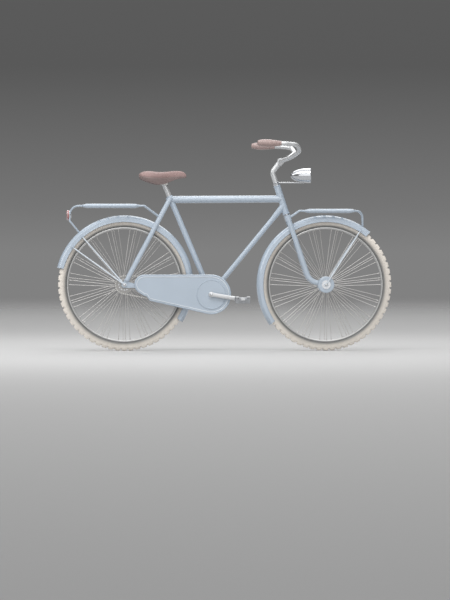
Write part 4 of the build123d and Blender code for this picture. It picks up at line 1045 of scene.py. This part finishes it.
# Where each guard starts and ends round its axle, where its stays hold it, and the body that carries it
guard_arcs = {"rear": (-32.5, 165.4), "front": (50.0, 215.5)}
guard_stays = {"rear": (131.2, 144.0), "front": (57.4,)}
guard_bodies = {"rear": "frame", "front": "fork"}
guard_edge_lift = 0.0014
guard_edge_tuck = 0.0006
guard_edge_radius = 0.0024
guard_edge_steps = 80
guard_lip_radius = 0.0022
guard_lip_steps = 12
clip_lift = 0.006
clip_length = 0.0080
clip_outline = ((0, 0), (0, 6.6), (7.0, 6.6), (8.0, 5.8), (8.0, 0))
clip_bolt_radius = 4.0
clip_bolt_height = 2.4


def make_guard_trim(name, axle):
    """A mudguard's rolled edges along its sides and ends, and its stays' clips."""
    body = guard_bodies[name]
    start, end = guard_arcs[name]
    tucked_half = guard_half - guard_edge_tuck
    forms = []
    for side in (-1, 1):
        edge = []
        for step in range(guard_edge_steps + 1):
            angle = start + (end - start) * step / guard_edge_steps
            edge.append(round_about(axle, guard_skirt_radius + guard_edge_lift, angle, side * tucked_half))
        forms.append(piped(edge, guard_edge_radius, 8))
    for angle in (start, end):
        lip = []
        for step in range(guard_lip_steps + 1):
            share = -1 + 2 * step / guard_lip_steps
            radius = guard_top_radius - guard_crown_drop * share ** 2 - guard_edge_tuck
            lip.append(round_about(axle, radius, angle, share * tucked_half))
        forms.append(piped(lip, guard_lip_radius, 8))
    make_piece(f"{name}_guard_edges", forms, paint, body)
    clips = []
    for angle in guard_stays[name]:
        for side in (-1, 1):
            outward = sideways * side
            place = round_about(axle, guard_skirt_radius + clip_lift, angle, side * guard_half)
            clips.append(turned(place, outward, clip_outline, 24))
            clips += dome_bolt(place + outward * clip_length, outward, clip_bolt_radius, clip_bolt_height)
    make_piece(f"{name}_guard_clips", clips, paint, body)


make_guard_trim("rear", rear_axle)
make_guard_trim("front", front_axle)

# Pedals: two ribbed rubbers, and a plate and three caps on the outer face
pedal_gap = 0.096
pedal_width = 0.092
pedal_half_length = 0.039
pedal_rubber_length = 0.019
pedal_rubber_height = 0.038
pedal_rubber_corner = 0.0042
pedal_ribs = 11
# One rib: share of its pitch, and how far the rubber stands in from its full size
rib_outline = ((0.0, 0.0016), (0.22, 0.0016), (0.30, 0.0), (0.92, 0.0), (1.0, 0.0016))
rib_sharp = radians(50)
# The plate's rings: distance out from the rubbers, length, height and corner radius
plate_rings = ((-0.0005, 0.044, 0.028, 0.003), (0.0008, 0.044, 0.028, 0.003), (0.0014, 0.042, 0.026, 0.002))
plate_drop = 0.0045
plate_rib_rises = (-0.0140, -0.0085, -0.0030)
plate_rib_half = 0.019
plate_rib_out = 0.0016
plate_rib_radius = 0.0011
# Each cap's place ahead of the middle and above it, its length and its height
cap_places = ((0.0, 0.003, 0.021, 0.013), (-0.030, 0.0155, 0.017, 0.0068), (0.030, 0.0155, 0.017, 0.0068))
# A cap's rings: distance out from the rubbers, how much smaller than the cap, and corner radius
cap_rings = ((0.0002, 0.0, 0.002), (0.0026, 0.0, 0.002), (0.0036, 0.002, 0.0012))


def rounded_box_ring(centre, half, long, tall, corner):
    """A rounded rectangle in the side view as a ring of points."""
    ring = []
    for x_sign, z_sign, start in ((1, 1, 0), (-1, 1, 90), (-1, -1, 180), (1, -1, 270)):
        for step in range(5):
            angle = radians(start + 90 * step / 4)
            x = centre.x + x_sign * (long / 2 - corner) + corner * cos(angle)
            z = centre.z + z_sign * (tall / 2 - corner) + corner * sin(angle)
            ring.append(Vector((x, half, z)))
    return ring


def pedal_rubber_form(middle, side):
    """One ribbed rubber of a pedal."""
    rib_pitch = pedal_width / pedal_ribs
    rings = []
    for rib in range(pedal_ribs):
        for share, inset in rib_outline:
            half = side * (pedal_gap + rib_pitch * (rib + share))
            long = pedal_rubber_length - 2 * inset
            tall = pedal_rubber_height - 2 * inset
            rings.append(rounded_box_ring(middle, half, long, tall, pedal_rubber_corner))
    return lofted(rings, caps=True)


def make_pedal(name, side):
    """The rubbers, end plate and caps of one pedal."""
    body = f"pedal_{name}"
    low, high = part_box(f"pedal_cage_{name}")
    centre = (Vector(low) + Vector(high)) / 2
    rubber_place = pedal_half_length - pedal_rubber_length / 2
    rubbers = [pedal_rubber_form(centre + ahead * (place * rubber_place), side) for place in (-1, 1)]
    make_piece(f"pedal_rubbers_{name}_ribbed", rubbers, pedal_rubber, body,
               (f"pedal_rubbers_{name}",), sharp=rib_sharp)
    outer = side * (pedal_gap + pedal_width)
    rings = []
    for out, long, tall, corner in plate_rings:
        rings.append(rounded_box_ring(centre - upward * plate_drop, outer + side * out, long, tall, corner))
    plates = [lofted(rings, caps=True)]
    for rise in plate_rib_rises:
        half = outer + side * plate_rib_out
        height = centre.z + rise
        ends = [Vector((centre.x + reach, half, height)) for reach in (-plate_rib_half, plate_rib_half)]
        plates.append(piped(ends, plate_rib_radius, 8))
    make_piece(f"pedal_plate_{name}", plates, pedal_rubber, body)
    caps = []
    for forward, rise, long, tall in cap_places:
        middle = centre + ahead * forward + upward * rise
        rings = []
        for out, less, corner in cap_rings:
            rings.append(rounded_box_ring(middle, outer + side * out, long - less, tall - less, corner))
        caps.append(lofted(rings, caps=True))
    make_piece(f"pedal_cap_{name}", caps, satin, body)


make_pedal("right", -1)
make_pedal("left", 1)

# Crank arms: forged and rounded, with a boss, a pedal eye and a pin
crank_length = 0.170
crank_inside = 0.080
crank_outside = 0.093
# Each ring: share of the arm's length, half height and half thickness in millimetres
crank_stations = (
    (-0.072, 7.0, 4.4), (-0.066, 10.4, 6.0), (-0.050, 11.4, 6.4), (0.0, 11.6, 6.5), (0.40, 11.2, 6.3),
    (0.70, 10.8, 6.1), (0.725, 11.8, 6.5), (0.765, 11.8, 6.5), (0.79, 10.2, 5.8), (0.92, 10.2, 6.0),
    (0.97, 10.8, 6.3), (1.0, 11.0, 6.4), (1.035, 9.6, 5.8), (1.058, 6.0, 4.0), (1.063, 3.0, 2.4),
)
# The powers that square the arm's section across and through its thickness
crank_height_power = 0.75
crank_depth_power = 0.6
crank_boss_sink = 0.004
crank_boss_radius = 15.0
crank_boss_bore = 8.8
pedal_pin_radius = 5.5
pedal_collar_outline = ((0, 0), (0, 8.0), (2.2, 8.0), (2.2, 0))


def crank_ring(centre, over, tall, wide):
    """One section of a crank arm, with its sizes in millimetres."""
    ring = []
    for step in range(24):
        angle = 2 * pi * step / 24
        x, y = cos(angle), sin(angle)
        across = copysign(abs(x) ** crank_height_power, x)
        depth = copysign(abs(y) ** crank_depth_power, y)
        ring.append(centre + (over * across * tall + sideways * depth * wide) * millimetre)
    return ring


def make_crank(name, side, boss_start):
    """One crank with its boss on the axle and the pin of its pedal."""
    outward = sideways * side
    low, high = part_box(f"pedal_cage_{name}")
    pedal = (Vector(low) + Vector(high)) / 2
    root = beside(crank_centre, 0)
    direction = (beside(pedal, 0) - root).normalized()
    over = direction.cross(sideways)
    middle_half = side * (crank_inside + crank_outside) / 2
    rings = []
    for share, tall, wide in crank_stations:
        centre = root + direction * crank_length * share + sideways * middle_half
        rings.append(crank_ring(centre, over, tall, wide))
    boss_end = (crank_inside + crank_boss_sink - boss_start) / millimetre
    boss_outline = (
        (0, crank_boss_bore), (0, crank_boss_radius - 1.0), (1.0, crank_boss_radius),
        (boss_end, crank_boss_radius), (boss_end, crank_boss_bore), (0, crank_boss_bore),
    )
    pin_end = (pedal_gap + pedal_width - crank_inside) / millimetre
    pedal_pin_outline = ((0, 0), (0, pedal_pin_radius), (pin_end, pedal_pin_radius), (pin_end, 0))
    arm = lofted(rings, caps=True)
    boss = turned(root + outward * boss_start, outward, boss_outline, 40)
    pin = turned(beside(pedal, side * crank_inside), outward, pedal_pin_outline, 24)
    collar = turned(beside(pedal, side * crank_outside), outward, pedal_collar_outline, 24)
    make_piece(f"crank_{name}_forged", [arm, boss, pin, collar], satin, "crank", (f"crank_{name}",))


make_crank("right", -1, 0.053)
make_crank("left", 1, 0.062)

# Bolts, caps and collars, with their outlines in millimetres
head_lean = radians(18.3)
seat_lean = radians(22.9)
steering_down = Vector((sin(head_lean), 0, -cos(head_lean)))
seat_up = Vector((-sin(seat_lean), 0, cos(seat_lean)))
seat_ahead = Vector((cos(seat_lean), 0, sin(seat_lean)))
head_length = 0.176
head_cup_outline = (
    (6.2, 15.0), (6.2, 19.2), (7.5, 19.6), (10.0, 19.6), (11.2, 18.8), (11.2, 15.0), (6.2, 15.0),
)
locknut_outline = ((0.2, 14.0), (0.2, 17.2), (1.5, 17.8), (7.5, 17.8), (8.5, 16.8), (8.5, 14.0), (0.2, 14.0))
locknut_top_outline = ((8.6, 14.0), (8.6, 16.2), (12.0, 15.8), (13.0, 14.6), (8.6, 14.0))
seat_collar_up = 0.583
seat_collar_outline = ((-0.5, 13.9), (-0.5, 16.8), (1.0, 17.8), (19.0, 17.8), (20.5, 16.5), (20.5, 15.2))
bracket_ring_half = 0.035
bracket_ring_outline = (
    (-2.0, 18.0), (-2.0, 22.2), (0.0, 22.8), (3.0, 22.8), (4.2, 21.4), (4.6, 12.0), (4.6, 9.0),
)
seat_bolt_up = 0.572
seat_bolt_back = 0.0175
seat_bolt_half = 0.009
seat_bolt_sleeve_radius = 0.0062
stem_bolt_place = head_top + Vector((0.026, 0, 0.1095))
stem_bolt_axis = Vector((0.2, 0, -1))
# Half widths at which the nuts and caps sit
rear_nut_half = 0.0798
front_nut_half = 0.0678
crank_cap_half = 0.0928
# Radius and height of each kind of head
seat_bolt_head = (5.0, 4.5)
stem_bolt_head = (5.8, 8.0)
axle_nut = (7.2, 6.0)
crank_cap = (8.0, 2.2)


def make_collars():
    """Turned collars at the head, the seat tube and the bracket shell, and the steerer's locknut."""
    collars = []
    for place, flip in ((0.0, 1), (head_length, -1)):
        collars.append(turned(head_top + steering_down * place, steering_down * flip, head_cup_outline, 40))
    collars.append(turned(crank_centre + seat_up * seat_collar_up, -seat_up, seat_collar_outline, 40))
    for side in (-1, 1):
        place = beside(crank_centre, side * bracket_ring_half)
        collars.append(turned(place, sideways * side, bracket_ring_outline, 36))
    locknut = [
        turned(head_top, -steering_down, locknut_outline, 6),
        turned(head_top, -steering_down, locknut_top_outline, 40),
    ]
    make_piece("frame_collars", collars, paint, "frame")
    make_piece("head_locknut", locknut, chrome, "fork")


def make_bolts():
    """The bolts of the seat and the stem, the nuts of the axles and the caps of the cranks."""
    rear_nuts = []
    fork_bolts = []
    crank_caps = []
    seat_bolts = []
    seat_bolt = crank_centre + seat_up * seat_bolt_up - seat_ahead * seat_bolt_back
    for side in (-1, 1):
        outward = sideways * side
        seat_bolts += hex_bolt(seat_bolt + outward * seat_bolt_half, outward, *seat_bolt_head)
        rear_nuts += dome_bolt(beside(rear_axle, side * rear_nut_half), outward, *axle_nut)
        fork_bolts += dome_bolt(beside(front_axle, side * front_nut_half), outward, *axle_nut)
        crank_caps += dome_bolt(beside(crank_centre, side * crank_cap_half), outward, *crank_cap)
    ends = [seat_bolt + sideways * (side * seat_bolt_half) for side in (-1, 1)]
    sleeve = piped(ends, seat_bolt_sleeve_radius, 16)
    fork_bolts += hex_bolt(stem_bolt_place, stem_bolt_axis, *stem_bolt_head)
    make_piece("frame_bolts", rear_nuts, satin, "frame")
    make_piece("seat_bolt_painted", [sleeve] + seat_bolts, paint, "frame")
    make_piece("fork_bolts", fork_bolts, satin, "fork")
    make_piece("crank_caps", crank_caps, chrome, "crank")


make_collars()
make_bolts()

# Rear reflector: a domed holder behind the lens, and its rim
holder_outline = ((0.0, 25.5), (2.0, 26.2), (5.0, 25.0), (10.0, 20.0), (14.0, 13.0), (16.0, 6.0), (16.5, 0))
holder_rim_radius = 0.0262
holder_rim_inset = 0.0032
holder_rim_thickness = 0.0018


def make_reflector_holder():
    """The domed holder behind the rear reflector, and its rim."""
    low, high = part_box("rear_reflector")
    height = (low[2] + high[2]) / 2
    dome = turned(Vector((high[0], 0, height)), ahead, holder_outline, 40)
    rim_middle = Vector((low[0] + holder_rim_inset, 0, height))
    ring = circle(rim_middle, sideways, upward, holder_rim_radius, 48)
    rim = piped(ring, holder_rim_thickness, 8, closed=True)
    make_piece("reflector_holder", [dome, rim], satin, "frame")


make_reflector_holder()


# Studio
def make_floor():
    """A wide pale floor that fades into the background with distance from the bicycle."""
    mesh = bpy.data.meshes.new("floor")
    corners = [(-1, -1), (1, -1), (1, 1), (-1, 1)]
    middle = (rear_axle + front_axle) / 2
    verts = [(middle.x + x * floor_radius, middle.y + y * floor_radius, ground_z) for x, y in corners]
    mesh.from_pydata(verts, [], [(0, 1, 2, 3)])
    floor = bpy.data.objects.new("floor", mesh)
    bpy.context.scene.collection.objects.link(floor)
    finish = Finish("pale_floor")
    finish.set(Base_Color=(floor_grey, floor_grey, floor_grey, 1), Roughness=0.6, Specular_IOR_Level=0.1)
    distance = finish.node("ShaderNodeVectorMath", operation="DISTANCE")
    distance.inputs[1].default_value = (middle.x, middle.y, ground_z)
    finish.join(finish.place, distance.inputs[0])
    reach = finish.node("ShaderNodeMapRange", interpolation_type="SMOOTHSTEP")
    reach.inputs["From Min"].default_value = floor_fade_start
    reach.inputs["From Max"].default_value = floor_fade_end
    reach.inputs["To Min"].default_value = 1.0
    reach.inputs["To Max"].default_value = 0.0
    finish.join(distance.outputs["Value"], reach.inputs["Value"])
    finish.join(reach.outputs["Result"], finish.shader.inputs["Alpha"])
    mesh.materials.append(finish.material)


def add_aimed(name, data, direction, place=(0, 0, 0)):
    """Puts a light or a camera into the scene, looking along a direction."""
    made = bpy.data.objects.new(name, data)
    made.location = place
    made.rotation_mode = "QUATERNION"
    made.rotation_quaternion = direction.to_track_quat("-Z", "Y")
    bpy.context.scene.collection.objects.link(made)
    return made


def make_sun(name, bearing, height, softness, strength):
    """A soft distant light."""
    data = bpy.data.lights.new(name, "SUN")
    data.energy = strength
    data.angle = radians(softness)
    turn, rise = radians(bearing), radians(height)
    source = Vector((cos(turn) * cos(rise), sin(turn) * cos(rise), sin(rise)))
    add_aimed(name, data, -source)


def make_softbox(name, place, length, width, power):
    """A long soft light beside the bicycle, which draws a band of gloss along its tubes."""
    data = bpy.data.lights.new(name, "AREA")
    data.shape = "RECTANGLE"
    data.size = length
    data.size_y = width
    data.energy = power
    aim = Vector((place[0], 0, softbox_aim_height)) - Vector(place)
    light = add_aimed(name, data, aim, place)
    light.visible_camera = False


def make_world():
    """A plain surround: grey at the horizon, darkest just above it and bright overhead."""
    world = bpy.data.worlds.new("studio")
    world.use_nodes = True
    tree = world.node_tree
    background = tree.nodes["Background"]
    place = tree.nodes.new("ShaderNodeTexCoord")
    split = tree.nodes.new("ShaderNodeSeparateXYZ")
    ramp = tree.nodes.new("ShaderNodeValToRGB")
    set_stops(ramp, [(height, (brightness / surround_strength,) * 3) for height, brightness in surround])
    tree.links.new(place.outputs["Generated"], split.inputs["Vector"])
    tree.links.new(split.outputs["Z"], ramp.inputs["Fac"])
    tree.links.new(ramp.outputs["Color"], background.inputs["Color"])
    background.inputs["Strength"].default_value = surround_strength
    bpy.context.scene.world = world


def make_camera():
    """The photograph's view: a long lens on the bicycle's right side."""
    target = Vector((
        (photo_width / 2 - seat_point_pixel[0]) * metres_per_pixel,
        0,
        (seat_point_pixel[1] - photo_height / 2) * metres_per_pixel,
    ))
    turn, rise = radians(camera_azimuth), radians(camera_elevation)
    back = Vector((sin(turn) * cos(rise), -cos(turn) * cos(rise), sin(rise)))
    data = bpy.data.cameras.new("camera")
    data.sensor_width = sensor_long_side
    data.lens = sensor_long_side * camera_distance / (photo_height * metres_per_pixel)
    data.clip_start = 0.1
    data.clip_end = 500
    camera = add_aimed("camera", data, -back, target + back * camera_distance)
    bpy.context.scene.camera = camera


make_floor()
make_world()
for sun in suns:
    make_sun(*sun)
for softbox in softboxes:
    make_softbox(*softbox)
make_camera()
bpy.context.scene.view_settings.view_transform = "Standard"
